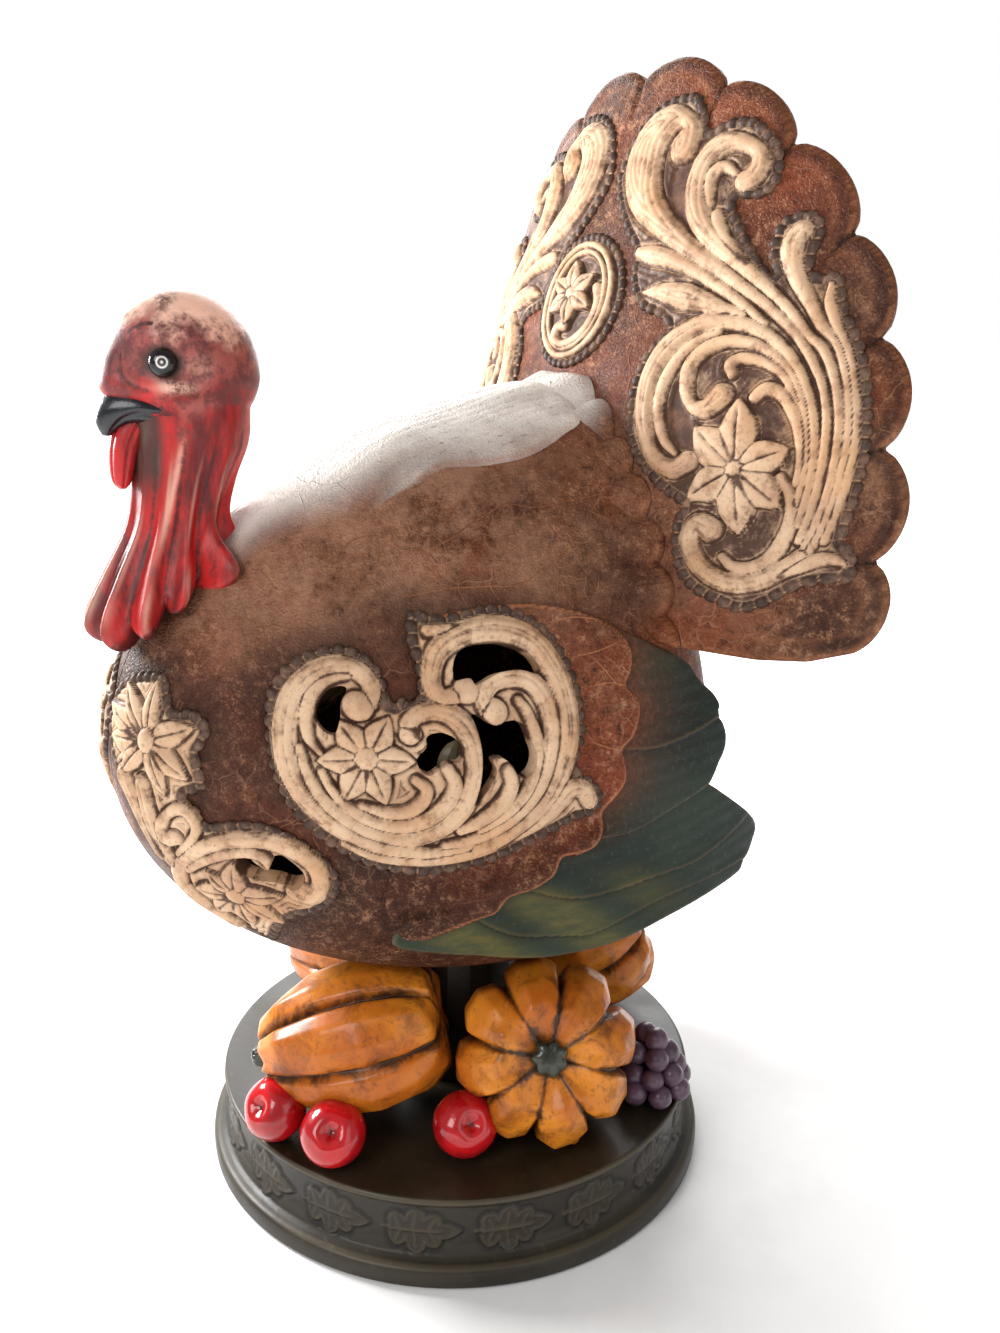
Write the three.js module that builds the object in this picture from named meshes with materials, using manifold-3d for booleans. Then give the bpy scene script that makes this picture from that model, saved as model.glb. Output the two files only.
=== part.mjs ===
// Thanksgiving turkey figure: a hollow cast turkey with pierced panels, a fan tail and a battery light,
// standing on a round plinth with pumpkins, gourds, apples and grapes.
// Millimetres. The origin is the centre of the plinth's underside, +Z is up, the bird looks along -Y
// and its left side is +X.
import * as THREE from 'three';
import { mergeVertices } from 'three/addons/utils/BufferGeometryUtils.js';
import Module from 'manifold-3d';

const wasm = await Module();
wasm.setup();

// Fits
const GAP = 0.3;
const SKIN_GAP = 0.4;

// Past the whole object, for cutting blocks
const FAR = 600;

// Plinth
const FOOT_RADIUS = 104;
const FOOT_HEIGHT = 8.3;
const TOP_RADIUS = 98.6;
const PLINTH_HEIGHT = 33.6;
const PLINTH_WALL = 7;
const PLINTH_TOP = 5;
const WAIST_RADIUS = TOP_RADIUS - 1.6;
const CAVITY_RADIUS = WAIST_RADIUS - PLINTH_WALL;
const LEAD_HOLE_RADIUS = 5;
const DECK = PLINTH_HEIGHT + GAP;

// Base plate, battery tray and switch
const PLATE_THICKNESS = 3;
const PLATE_RADIUS = FOOT_RADIUS - 7;
const SCREW_CIRCLE = 79;
const SCREW_COUNT = 4;
const SCREW_RADIUS = 1.5;
const SCREW_HEAD_RADIUS = 3.2;
const SCREW_HEAD = 1.6;
const SCREW_LENGTH = 12;
const BOSS_RADIUS = 5;
const CELL_RADIUS = 7.1;
const CELL_LENGTH = 50;
const CELL_COUNT = 3;
const CELL_PITCH = 2 * CELL_RADIUS + 1;
const CONTACT_THICKNESS = 0.6;
const TRAY_WALL = 2;
const TRAY_Y = 50;
const COVER_THICKNESS = 2.2;
const COVER_RECESS = 0.4;
const COVER_PIN_RADIUS = 0.8;
const COVER_PIN_LENGTH = 1.5;
const COVER_PIN_INSET = 1.4;
const SWITCH_X = -48;
const SWITCH_Y = -30;
const SWITCH_TRAVEL = 4;
const SLIDER_LENGTH = 6;
const SLIDER_WIDTH = 4.4;

// Lamp
const PEDESTAL_RADIUS = 29;
const PEDESTAL_BORE = 16;
const POST_RADIUS = 7;
const POST_BORE = 3.4;
const POST_FLANGE_RADIUS = 14;
const POST_FLANGE = 3;
const LAMP_RISE = 116;
const LAMP_Z = DECK + LAMP_RISE;
const LAMP_RADIUS = 9;
const LAMP_HEIGHT = 22;
const LEAD_RADIUS = 1.4;

// Body: an egg with a long breast and a short rump, narrower at the back line, pitched up to the rear
const BODY_Y = 36;
const BODY_RISE = 162;
const BODY_Z = DECK + BODY_RISE;
const BODY_HALF_WIDTH = 90;
const BODY_FRONT = 172;
const BODY_REAR = 56;
const BODY_UP = 116;
const BODY_DOWN = 112;
const BODY_TAPER = 0.18;
const BODY_PITCH = THREE.MathUtils.degToRad(5);
const BREAST_Y = BODY_Y - BODY_FRONT;
const BODY_WALL = 5;
const BODY_OPENING_RADIUS = 22;
const EGG_STEPS_ROUND = 24;
const EGG_STEPS_LONG = 14;

// Layers of the wing over the body shell
const FLIGHT_THICKNESS = 4;
const COVERT_THICKNESS = 4;
const PANEL_RISE = 4.5;
const BREAST_RISE = 2.5;
const WING_REAR = 122;
const WING_DOWN = 180;
const SADDLE_THICKNESS = 3.5;
const SADDLE_HALF_WIDTH = 66;
const SADDLE_HALF_LENGTH = 84;
const SADDLE_LOW = 56;

// Fan tail: part of a cylinder leaning back, with round lobes along the rim
const FAN_BACK = 7;
const FAN_RISE = 112;
const FAN_Y = BODY_Y + FAN_BACK;
const FAN_Z = BODY_Z + FAN_RISE;
const FAN_RADIUS = 216;
const FAN_LEAN = Math.tan(THREE.MathUtils.degToRad(16));
const FAN_ROOT_THICKNESS = 15;
const FAN_RIM_THICKNESS = 6;
const FAN_BOTTOM_RISE = 32;
const FAN_BOTTOM_Z = BODY_Z + FAN_BOTTOM_RISE;
const FAN_BOTTOM_HALF = 112;
const FAN_LOBE_BULGE = 0.18;
const FAN_LOBE_STEPS = 3;
const FAN_SPOKE_STEPS = 4;
const FAN_PANEL_THICKNESS = 1.2;
const SCROLL_RISE = 3;
const SCROLL_CREST_SHARE = 0.6;
const FLOWER_RISE = 2.2;
const FLOWER_HEART_SIDES = 8;
const MEDALLION_RISE = 146;
const MEDALLION_Z = BODY_Z + MEDALLION_RISE;
const MEDALLION_HALF_WIDTH = 22;
const MEDALLION_HALF_HEIGHT = 27.5;
const MEDALLION_RIM_SHARE = 0.74;
const MEDALLION_RIM_HALF = 2.4;
const MEDALLION_RIM_RISE = 1.5;
const MEDALLION_RIM_STEPS = 18;
const MEDALLION_RIM_START = THREE.MathUtils.degToRad(-70);
const MEDALLION_RIM_TURN = THREE.MathUtils.degToRad(350);

// Neck and head
const NECK_BACK = 26;
const NECK_RISE = 26;
const NECK_LENGTH = 82;
const NECK_Y = BREAST_Y + NECK_BACK;
const NECK_Z = BODY_Z + NECK_RISE;
const NECK_TOP_Z = NECK_Z + NECK_LENGTH;
const NECK_FOLDS = 7;
const HEAD_CENTRE = new THREE.Vector3(0, NECK_Y + 7, NECK_TOP_Z + 14);
const HEAD_RADII = new THREE.Vector3(21, 24.5, 23);
const EYE_RADIUS = 5;
const EYE_CENTRE = new THREE.Vector3(18.2, HEAD_CENTRE.y - 11, HEAD_CENTRE.z + 3);
const BEAK_INSET = 5.5;
const BEAK_PLANE_Y = HEAD_CENTRE.y - HEAD_RADII.y + BEAK_INSET;

// Basic solids
function toSolid(geometry) {
  const plain = geometry.clone();
  for (const name of Object.keys(plain.attributes)) {
    if (name !== 'position') {
      plain.deleteAttribute(name);
    }
  }
  const merged = mergeVertices(plain, 1e-4);
  const vertProperties = new Float32Array(merged.attributes.position.array);
  const triVerts = outward(vertProperties, new Uint32Array(merged.index.array));
  return new wasm.Manifold(new wasm.Mesh({ numProp: 3, vertProperties, triVerts }));
}

// Turns the triangles over if they enclose a negative volume
function outward(points, triangles) {
  const a = new THREE.Vector3();
  const b = new THREE.Vector3();
  const c = new THREE.Vector3();
  let volume = 0;
  for (let i = 0; i < triangles.length; i += 3) {
    a.fromArray(points, triangles[i] * 3);
    b.fromArray(points, triangles[i + 1] * 3);
    c.fromArray(points, triangles[i + 2] * 3);
    volume += a.dot(b.cross(c));
  }
  if (volume >= 0) {
    return triangles;
  }
  return triangles.map((value, i) => triangles[i - (i % 3) + (2 - (i % 3))]);
}

function toGeometry(solid) {
  const mesh = solid.getMesh();
  const geometry = new THREE.BufferGeometry();
  geometry.setAttribute('position', new THREE.BufferAttribute(new Float32Array(mesh.vertProperties), 3));
  geometry.setIndex(new THREE.BufferAttribute(new Uint32Array(mesh.triVerts), 1));
  geometry.computeVertexNormals();
  return geometry;
}

function fromGrid(points, triangles) {
  const geometry = new THREE.BufferGeometry();
  const flat = points.flatMap((p) => p.toArray());
  geometry.setAttribute('position', new THREE.Float32BufferAttribute(flat, 3));
  geometry.setIndex(triangles);
  return toSolid(geometry);
}

// A closed tube through rings of points, with a centre point closing each end
function loft(rings) {
  const count = rings[0].length;
  const points = rings.flat();
  const triangles = [];
  for (let i = 0; i + 1 < rings.length; i++) {
    for (let j = 0; j < count; j++) {
      const k = (j + 1) % count;
      const a = i * count + j;
      const b = i * count + k;
      triangles.push(a, b, a + count, b, b + count, a + count);
    }
  }
  const ends = [
    { ring: rings[0], start: 0, flip: true },
    { ring: rings.at(-1), start: (rings.length - 1) * count, flip: false },
  ];
  for (const { ring, start, flip } of ends) {
    const centre = new THREE.Vector3();
    ring.forEach((p) => centre.addScaledVector(p, 1 / count));
    const hub = points.push(centre) - 1;
    for (let j = 0; j < count; j++) {
      const k = (j + 1) % count;
      triangles.push(hub, start + (flip ? k : j), start + (flip ? j : k));
    }
  }
  return fromGrid(points, triangles);
}

// A closed slab between two surfaces given over u and v from 0 to 1
function slab(front, back, stepsU, stepsV) {
  const points = [];
  const triangles = [];
  const row = stepsV + 1;
  const layer = row * (stepsU + 1);
  for (const surface of [front, back]) {
    for (let i = 0; i <= stepsU; i++) {
      for (let j = 0; j <= stepsV; j++) {
        points.push(surface(i / stepsU, j / stepsV));
      }
    }
  }
  const quad = (a, b, c, d) => triangles.push(a, b, c, a, c, d);
  for (let i = 0; i < stepsU; i++) {
    for (let j = 0; j < stepsV; j++) {
      const a = i * row + j;
      quad(a, a + row, a + row + 1, a + 1);
      quad(layer + a, layer + a + 1, layer + a + row + 1, layer + a + row);
    }
  }
  for (let i = 0; i < stepsU; i++) {
    const a = i * row;
    const b = a + stepsV;
    quad(a, layer + a, layer + a + row, a + row);
    quad(b, b + row, layer + b + row, layer + b);
  }
  for (let j = 0; j < stepsV; j++) {
    const b = stepsU * row + j;
    quad(j, j + 1, layer + j + 1, layer + j);
    quad(b, layer + b, layer + b + 1, b + 1);
  }
  return fromGrid(points, triangles);
}

function box(x0, x1, y0, y1, z0, z1) {
  const geometry = new THREE.BoxGeometry(x1 - x0, y1 - y0, z1 - z0);
  geometry.translate((x0 + x1) / 2, (y0 + y1) / 2, (z0 + z1) / 2);
  return toSolid(geometry);
}

// An upright cylinder
function post(radius, x, y, z0, z1, sides = 24) {
  const geometry = new THREE.CylinderGeometry(radius, radius, z1 - z0, sides);
  geometry.rotateX(Math.PI / 2);
  geometry.translate(x, y, (z0 + z1) / 2);
  return toSolid(geometry);
}

// A solid of revolution round the Z axis from radius and height pairs
function turned(profile, sides) {
  const points = profile.map(([r, z]) => new THREE.Vector2(r, z));
  const geometry = new THREE.LatheGeometry(points, sides);
  geometry.rotateX(Math.PI / 2);
  return toSolid(geometry);
}

// An ellipse pushed through along X (drawn in Y and Z) or along Y (drawn in X and Z)
function ellipsePrism(along, centre, halfWidth, halfHeight, from, to, tilt = 0) {
  const shape = new THREE.Shape();
  shape.absellipse(centre[0], centre[1], halfWidth, halfHeight, 0, Math.PI * 2, false, tilt);
  return shapePrism(along, shape, from, to);
}

function shapePrism(along, shape, from, to) {
  const options = { depth: to - from, bevelEnabled: false, curveSegments: 9 };
  const geometry = new THREE.ExtrudeGeometry(shape, options);
  geometry.translate(0, 0, from);
  const basis = new THREE.Matrix4();
  const x = new THREE.Vector3(1, 0, 0);
  const y = new THREE.Vector3(0, 1, 0);
  const z = new THREE.Vector3(0, 0, 1);
  if (along === 'x') {
    basis.makeBasis(y, z, x);
  } else if (along === 'y') {
    basis.makeBasis(x, z, y);
  } else {
    basis.makeBasis(x, y, z);
  }
  geometry.applyMatrix4(basis);
  return toSolid(geometry);
}

const mirrored = (solid) => solid.mirror([1, 0, 0]);

// The body egg, grown or shrunk, with the wing's longer rear and lower reach where asked for
function egg(grow, rear = BODY_REAR, down = BODY_DOWN) {
  const geometry = new THREE.SphereGeometry(1, EGG_STEPS_ROUND, EGG_STEPS_LONG);
  geometry.rotateX(Math.PI / 2);
  const position = geometry.attributes.position;
  const p = new THREE.Vector3();
  const tilt = new THREE.Vector3(1, 0, 0);
  for (let i = 0; i < position.count; i++) {
    p.fromBufferAttribute(position, i);
    const long = p.y < 0 ? BODY_FRONT : rear;
    const high = p.z < 0 ? down : BODY_UP;
    p.set(p.x * (BODY_HALF_WIDTH + grow), p.y * (long + grow), p.z * (high + grow));
    p.x *= 1 - (BODY_TAPER * p.z) / BODY_UP;
    p.applyAxisAngle(tilt, BODY_PITCH);
    p.y += BODY_Y;
    p.z += BODY_Z;
    position.setXYZ(i, p.x, p.y, p.z);
  }
  return toSolid(geometry);
}

// A layer of the body's skin between two offsets
function skin(inner, outer, rear, down) {
  return egg(outer, rear, down).subtract(egg(inner, rear, down));
}

// Plinth and what is inside it
function screwPlaces() {
  const places = [];
  for (let i = 0; i < SCREW_COUNT; i++) {
    const turn = ((i + 0.5) * 2 * Math.PI) / SCREW_COUNT;
    places.push([SCREW_CIRCLE * Math.cos(turn), SCREW_CIRCLE * Math.sin(turn)]);
  }
  return places;
}

function plinth() {
  const seat = PLATE_THICKNESS + GAP;
  const ceiling = PLINTH_HEIGHT - PLINTH_TOP;
  const profile = [
    [FOOT_RADIUS, 0],
    [FOOT_RADIUS, FOOT_HEIGHT - 2],
    [FOOT_RADIUS - 1.5, FOOT_HEIGHT],
    [WAIST_RADIUS + 1.2, FOOT_HEIGHT + 1.4],
    [WAIST_RADIUS, FOOT_HEIGHT + 10],
    [WAIST_RADIUS + 0.2, PLINTH_HEIGHT - 4],
    [TOP_RADIUS, PLINTH_HEIGHT - 2.4],
    [TOP_RADIUS, PLINTH_HEIGHT - 0.8],
    [TOP_RADIUS - 1, PLINTH_HEIGHT],
    [LEAD_HOLE_RADIUS, PLINTH_HEIGHT],
    [LEAD_HOLE_RADIUS, ceiling],
    [CAVITY_RADIUS, ceiling],
    [CAVITY_RADIUS, seat],
    [PLATE_RADIUS + GAP, seat],
    [PLATE_RADIUS + GAP, 0],
    [FOOT_RADIUS, 0],
  ];
  let solid = turned(profile, 36);
  for (const [x, y] of screwPlaces()) {
    solid = solid.add(post(BOSS_RADIUS, x, y, seat, ceiling + 1, 8));
    solid = solid.subtract(post(SCREW_RADIUS + GAP, x, y, seat - 1, SCREW_LENGTH + 1, 8));
  }
  return solid;
}

const cellZ = COVER_RECESS + COVER_THICKNESS + GAP + CELL_RADIUS;
const trayHalfX = CELL_LENGTH / 2 + GAP + CONTACT_THICKNESS + GAP;
const trayHalfY = (CELL_COUNT * CELL_PITCH) / 2 + GAP;
const trayCeiling = cellZ + CELL_RADIUS + GAP;
const coverHinge = { y: TRAY_Y + trayHalfY - COVER_PIN_INSET, z: COVER_RECESS + COVER_THICKNESS / 2 };

function basePlate() {
  let solid = post(PLATE_RADIUS, 0, 0, 0, PLATE_THICKNESS, 36);
  for (const [x, y] of screwPlaces()) {
    solid = solid.subtract(post(SCREW_RADIUS + GAP, x, y, -1, PLATE_THICKNESS + 1, 10));
    solid = solid.subtract(post(SCREW_HEAD_RADIUS + GAP, x, y, -1, SCREW_HEAD + GAP, 12));
  }
  const reach = trayHalfX + COVER_PIN_LENGTH + GAP;
  const y0 = TRAY_Y - trayHalfY;
  const y1 = TRAY_Y + trayHalfY;
  const tall = [-1, PLATE_THICKNESS + 1];
  solid = solid.subtract(box(-trayHalfX, trayHalfX, y0, y1, ...tall));
  const notch = COVER_PIN_RADIUS + GAP;
  solid = solid.subtract(box(-reach, reach, coverHinge.y - notch, coverHinge.y + notch, ...tall));
  const slotX = (SLIDER_LENGTH + SWITCH_TRAVEL) / 2 + GAP;
  const slotY = SLIDER_WIDTH / 2 + GAP;
  const mid = SWITCH_X + SWITCH_TRAVEL / 2;
  return solid.subtract(box(mid - slotX, mid + slotX, SWITCH_Y - slotY, SWITCH_Y + slotY, ...tall));
}

function screw([x, y]) {
  const head = post(SCREW_HEAD_RADIUS, x, y, GAP, SCREW_HEAD, 12);
  const shank = post(SCREW_RADIUS, x, y, SCREW_HEAD - 0.5, SCREW_LENGTH, 10);
  const slot = box(x - 4, x + 4, y - 0.4, y + 0.4, 0, 0.9);
  return head.add(shank).subtract(slot);
}

function batteryTray() {
  const bottom = PLATE_THICKNESS + GAP;
  const x = trayHalfX + TRAY_WALL;
  const y = trayHalfY + TRAY_WALL;
  const outer = box(-x, x, TRAY_Y - y, TRAY_Y + y, bottom, trayCeiling + TRAY_WALL);
  const inner = box(-trayHalfX, trayHalfX, TRAY_Y - trayHalfY, TRAY_Y + trayHalfY, 0, trayCeiling);
  const leadHole = 2 * LEAD_RADIUS;
  const outlet = box(-leadHole, leadHole, TRAY_Y - y - 1, TRAY_Y, trayCeiling - 5, trayCeiling);
  return outer.subtract(inner).subtract(outlet);
}

function cell(number) {
  const y = TRAY_Y + (number - (CELL_COUNT - 1) / 2) * CELL_PITCH;
  const geometry = new THREE.CylinderGeometry(CELL_RADIUS, CELL_RADIUS, CELL_LENGTH - 1.2, 20);
  const nub = new THREE.CylinderGeometry(2.7, 2.7, 2, 12);
  nub.translate(0, CELL_LENGTH / 2 - 1, 0);
  geometry.translate(0, -0.6, 0);
  const solid = toSolid(geometry).add(toSolid(nub));
  const turn = number % 2 === 0 ? 90 : -90;
  return solid.rotate([0, 0, turn]).translate([0, y, cellZ]);
}

function contact(side) {
  const x = side * (CELL_LENGTH / 2 + GAP + CONTACT_THICKNESS / 2);
  const half = CONTACT_THICKNESS / 2;
  const y = trayHalfY - 1;
  return box(x - half, x + half, TRAY_Y - y, TRAY_Y + y, cellZ - 5, trayCeiling - GAP);
}

function batteryCover() {
  const x = trayHalfX - GAP;
  const y0 = TRAY_Y - trayHalfY + GAP;
  const y1 = coverHinge.y + 0.4;
  const top = COVER_RECESS + COVER_THICKNESS;
  let solid = box(-x, x, y0, y1, COVER_RECESS, top);
  const pinLength = 2 * (x + COVER_PIN_LENGTH);
  const pin = new THREE.CylinderGeometry(COVER_PIN_RADIUS, COVER_PIN_RADIUS, pinLength, 12);
  pin.rotateZ(Math.PI / 2);
  pin.translate(0, coverHinge.y, coverHinge.z);
  solid = solid.add(toSolid(pin));
  for (const grip of [0, 1, 2]) {
    const y = y0 + 4 + grip * 3;
    solid = solid.subtract(box(-8, 8, y, y + 1.2, 0, COVER_RECESS + 0.6));
  }
  return solid;
}

const switchMid = SWITCH_X + SWITCH_TRAVEL / 2;
const sliderPlate = PLATE_THICKNESS + GAP + 1;

function switchBody() {
  const floor = PLATE_THICKNESS + GAP;
  const outer = box(switchMid - 11, switchMid + 11, SWITCH_Y - 5.5, SWITCH_Y + 5.5, floor, floor + 8);
  const half = (SLIDER_LENGTH + SWITCH_TRAVEL) / 2 + 2 + GAP;
  const wide = SLIDER_WIDTH / 2 + 1;
  const room = box(switchMid - half, switchMid + half, SWITCH_Y - wide, SWITCH_Y + wide, 0, floor + 3.5);
  return outer.subtract(room);
}

function switchSlider() {
  const half = SLIDER_LENGTH / 2;
  const wide = SLIDER_WIDTH / 2;
  const y = [SWITCH_Y - wide, SWITCH_Y + wide];
  const knob = box(SWITCH_X - half, SWITCH_X + half, ...y, 0.5, sliderPlate);
  const x = half + 1.5;
  const foot = box(SWITCH_X - x, SWITCH_X + x, ...y, PLATE_THICKNESS + GAP, sliderPlate + 2);
  let solid = knob.add(foot);
  for (const rib of [-1.4, 0.4]) {
    solid = solid.subtract(box(SWITCH_X + rib, SWITCH_X + rib + 1, SWITCH_Y - 5, SWITCH_Y + 5, 0, 1));
  }
  return solid;
}

function lampPost() {
  const floor = DECK;
  const profile = [
    [POST_BORE, floor],
    [POST_FLANGE_RADIUS, floor],
    [POST_FLANGE_RADIUS, floor + POST_FLANGE],
    [POST_RADIUS, floor + POST_FLANGE],
    [POST_RADIUS, LAMP_Z],
    [POST_BORE, LAMP_Z],
    [POST_BORE, floor],
  ];
  return turned(profile, 16);
}

function lamp() {
  const foot = LAMP_Z + GAP;
  const waist = foot + LAMP_HEIGHT * 0.5;
  const profile = [
    [0, foot],
    [LAMP_RADIUS, foot],
    [LAMP_RADIUS, waist],
  ];
  for (let i = 1; i < 5; i++) {
    const turn = (i / 5) * (Math.PI / 2);
    profile.push([LAMP_RADIUS * Math.cos(turn), waist + LAMP_HEIGHT * 0.5 * Math.sin(turn)]);
  }
  profile.push([0, foot + LAMP_HEIGHT]);
  return turned(profile, 14);
}

function lampLead() {
  const circle = new THREE.Shape();
  circle.absarc(0, 0, LEAD_RADIUS, 0, Math.PI * 2);
  const start = TRAY_Y - trayHalfY - TRAY_WALL / 2;
  const z = trayCeiling - 2.4;
  const route = new THREE.CatmullRomCurve3([
    new THREE.Vector3(0, start, z),
    new THREE.Vector3(0, start - 8, z),
    new THREE.Vector3(0, 2.5, z + 2),
    new THREE.Vector3(0, 0, z + 7),
    new THREE.Vector3(0, 0, PLINTH_HEIGHT + 10),
    new THREE.Vector3(0, 0, LAMP_Z - 20),
    new THREE.Vector3(0, 0, LAMP_Z - GAP),
  ]);
  const geometry = new THREE.ExtrudeGeometry(circle, { steps: 24, extrudePath: route, curveSegments: 2 });
  return toSolid(geometry);
}

function pedestal() {
  const floor = DECK;
  const profile = [
    [PEDESTAL_BORE, floor],
    [PEDESTAL_RADIUS, floor],
    [PEDESTAL_RADIUS, BODY_Z - BODY_DOWN + 12],
    [PEDESTAL_BORE, BODY_Z - BODY_DOWN + 12],
    [PEDESTAL_BORE, floor],
  ];
  return clearOf(turned(profile, 20).subtract(egg(GAP)), Object.values(FRUIT));
}

// Fruit: a ribbed round body on its own axis, flattened at the ends
function ribbed(fruit, grow) {
  const geometry = new THREE.SphereGeometry(1, fruit.ribs * 3, fruit.rows);
  const position = geometry.attributes.position;
  const p = new THREE.Vector3();
  const upright = new THREE.Vector3(0, 1, 0);
  const turn = new THREE.Quaternion().setFromUnitVectors(upright, fruit.axis.clone().normalize());
  for (let i = 0; i < position.count; i++) {
    p.fromBufferAttribute(position, i);
    const around = Math.atan2(p.z, p.x);
    const out = Math.hypot(p.x, p.z);
    const rib = 1 - fruit.ribDepth * (1 - Math.abs(Math.sin((around * fruit.ribs) / 2))) * out;
    const taper = 1 - fruit.taper * p.y;
    const dimple = 1 - fruit.dimple * Math.exp(-out * out * 9);
    p.set(
      p.x * rib * taper * (fruit.radius + grow),
      p.y * dimple * (fruit.half + grow),
      p.z * rib * taper * (fruit.radius + grow),
    );
    p.applyQuaternion(turn).add(fruit.centre);
    position.setXYZ(i, p.x, p.y, p.z);
  }
  return toSolid(geometry);
}

const v = (x, y, z) => new THREE.Vector3(x, y, z);
const pumpkinStyle = { ribs: 8, ribDepth: 0.16, rows: 8, taper: 0, dimple: 0.22 };
const gourdStyle = { ribs: 6, ribDepth: 0.16, rows: 8, taper: 0.16, dimple: 0.16 };
const appleStyle = { ribs: 4, ribDepth: 0, rows: 7, taper: 0.08, dimple: 0.2, radius: 11.8, half: 10.8 };

const FRUIT = {
  pumpkin_front: {
    ...pumpkinStyle,
    centre: v(63, 5, DECK + 31.1),
    axis: v(0.8, -0.42, 0.42),
    radius: 36,
    half: 29,
  },
  pumpkin_rear: {
    ...pumpkinStyle,
    centre: v(0, 66, DECK + 32.1),
    axis: v(0.25, 0.8, 0.5),
    radius: 33,
    half: 29,
  },
  pumpkin_far: {
    ...pumpkinStyle,
    centre: v(-60, 32, DECK + 30.1),
    axis: v(-0.75, 0.3, 0.55),
    radius: 32,
    half: 28,
  },
  gourd_near: {
    ...gourdStyle,
    centre: v(22, -57, DECK + 33.1),
    axis: v(-0.5, -0.86, -0.28),
    radius: 30,
    half: 41,
  },
  gourd_far: {
    ...gourdStyle,
    centre: v(-47, -29, DECK + 28.1),
    axis: v(-0.85, -0.45, -0.15),
    radius: 25,
    half: 33,
  },
};

const APPLES = {
  apple_near_1: v(46, -76, DECK + 10.7),
  apple_near_2: v(22, -89.5, DECK + 10.7),
  apple_near_3: v(64.5, -31, DECK + 10.7),
  apple_far: v(-84, -16, DECK + 10.7),
};

// A short bent stem on the axis of a fruit, from inside its dimple
function stem(fruit, length, radius) {
  const along = fruit.axis.clone().normalize();
  const side = new THREE.Vector3().crossVectors(along, v(0, 0, 1)).normalize();
  const up = new THREE.Vector3().crossVectors(side, along);
  const rings = [];
  const foot = fruit.half * (1 - fruit.dimple) - 3;
  for (const [reach, wide, bend] of [[0, 1.2, 0], [0.45, 0.85, 0], [0.8, 0.75, 0.15], [1, 0.9, 0.3]]) {
    const centre = fruit.centre.clone().addScaledVector(along, foot + reach * (length + 3));
    centre.addScaledVector(up, bend * radius);
    const ring = [];
    for (let i = 0; i < 8; i++) {
      const turn = (i * Math.PI) / 4;
      const p = centre.clone().addScaledVector(side, radius * wide * Math.cos(turn));
      ring.push(p.addScaledVector(up, radius * wide * Math.sin(turn)));
    }
    rings.push(ring);
  }
  return loft(rings).subtract(ribbed(fruit, GAP));
}

// Cut to sit on the plinth and clear of the body
function seated(solid) {
  const under = box(-FAR, FAR, -FAR, FAR, -FAR, DECK);
  return solid.subtract(under).subtract(egg(GAP));
}

// Cut to leave a fit gap to the fruit already placed
function clearOf(solid, neighbours) {
  return neighbours.reduce((left, fruit) => left.subtract(ribbed(fruit, GAP)), solid);
}

function apple(centre) {
  return ribbed({ ...appleStyle, centre, axis: v(0.15, -0.1, 1) }, 0);
}

// Grapes piled in rings that narrow upward
function grapes(centre) {
  const radius = 6.2;
  const core = new THREE.SphereGeometry(1, 8, 6);
  core.scale(8, 8, 15);
  core.translate(centre.x, centre.y, centre.z + 7);
  let solid = toSolid(core);
  for (const [height, ring, count] of [[0, 8, 3], [9, 6, 2], [18, 1, 1]]) {
    for (let i = 0; i < count; i++) {
      const turn = (i * 2 * Math.PI) / count + height;
      const geometry = new THREE.IcosahedronGeometry(radius, 1);
      geometry.translate(ring * Math.cos(turn), ring * Math.sin(turn), height);
      geometry.translate(centre.x, centre.y, centre.z);
      solid = solid.add(toSolid(geometry));
    }
  }
  return clearOf(seated(solid), Object.values(FRUIT));
}

// Pierced side panel: overlapping ovals and their openings, in Y and Z from the body's centre
const SIDE_OVALS = [
  { centre: [-111, 6], half: [24, 35] },
  { centre: [-69, 7], half: [32, 45] },
  { centre: [-93, -6], half: [27, 33] },
];
const SIDE_HOLES = [
  { centre: [-114, 18], half: [4.5, 10], tilt: -0.3 },
  { centre: [-85, 8], half: [6, 6.5], tilt: 0 },
  { centre: [-67, 35], half: [13, 6], tilt: -0.1 },
  { centre: [-62, 9], half: [7, 10], tilt: 0 },
  { centre: [-74, -2], half: [3, 15], tilt: -0.15 },
];

// Breast panel: the same in X and Z
const BREAST_OVALS = [
  { centre: [25, 7], half: [13, 17] },
  { centre: [46, -40], half: [22, 19] },
  { centre: [33, -16], half: [11, 18] },
];
const BREAST_HOLES = [{ centre: [55, -34], half: [6, 4.5], tilt: 0.3 }];

// Ovals pushed through the bird's left side along X, or through its breast along Y
function ovals(along, list, grow) {
  const sideways = along === 'x';
  const ends = sideways ? [BODY_HALF_WIDTH * 0.1, BODY_HALF_WIDTH * 2] : [BREAST_Y * 2, BODY_Y];
  const middle = sideways ? BODY_Y : 0;
  let solid = null;
  for (const { centre, half, tilt = 0 } of list) {
    const place = [centre[0] + middle, centre[1] + BODY_Z];
    const prism = ellipsePrism(along, place, half[0] + grow, half[1] + grow, ...ends, tilt);
    solid = solid ? solid.add(prism) : prism;
  }
  return solid;
}

function sidePanel() {
  const layer = skin(-BODY_WALL, PANEL_RISE);
  return layer.intersect(ovals('x', SIDE_OVALS, 0)).subtract(ovals('x', SIDE_HOLES, 0));
}

function breastPanel() {
  const layer = skin(-BODY_WALL, BREAST_RISE);
  const panel = layer.intersect(ovals('y', BREAST_OVALS, 0)).subtract(ovals('y', BREAST_HOLES, 0));
  return panel.subtract(ovals('x', SIDE_OVALS, GAP));
}

function bodyHalf() {
  let solid = skin(-BODY_WALL, 0);
  solid = solid.intersect(box(GAP / 2, FAR, -FAR, FAR, 0, FAR));
  solid = solid.subtract(ovals('x', SIDE_OVALS, GAP));
  solid = solid.subtract(ovals('y', BREAST_OVALS, GAP));
  return solid.subtract(post(BODY_OPENING_RADIUS, 0, 0, 0, BODY_Z, 16));
}

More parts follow.
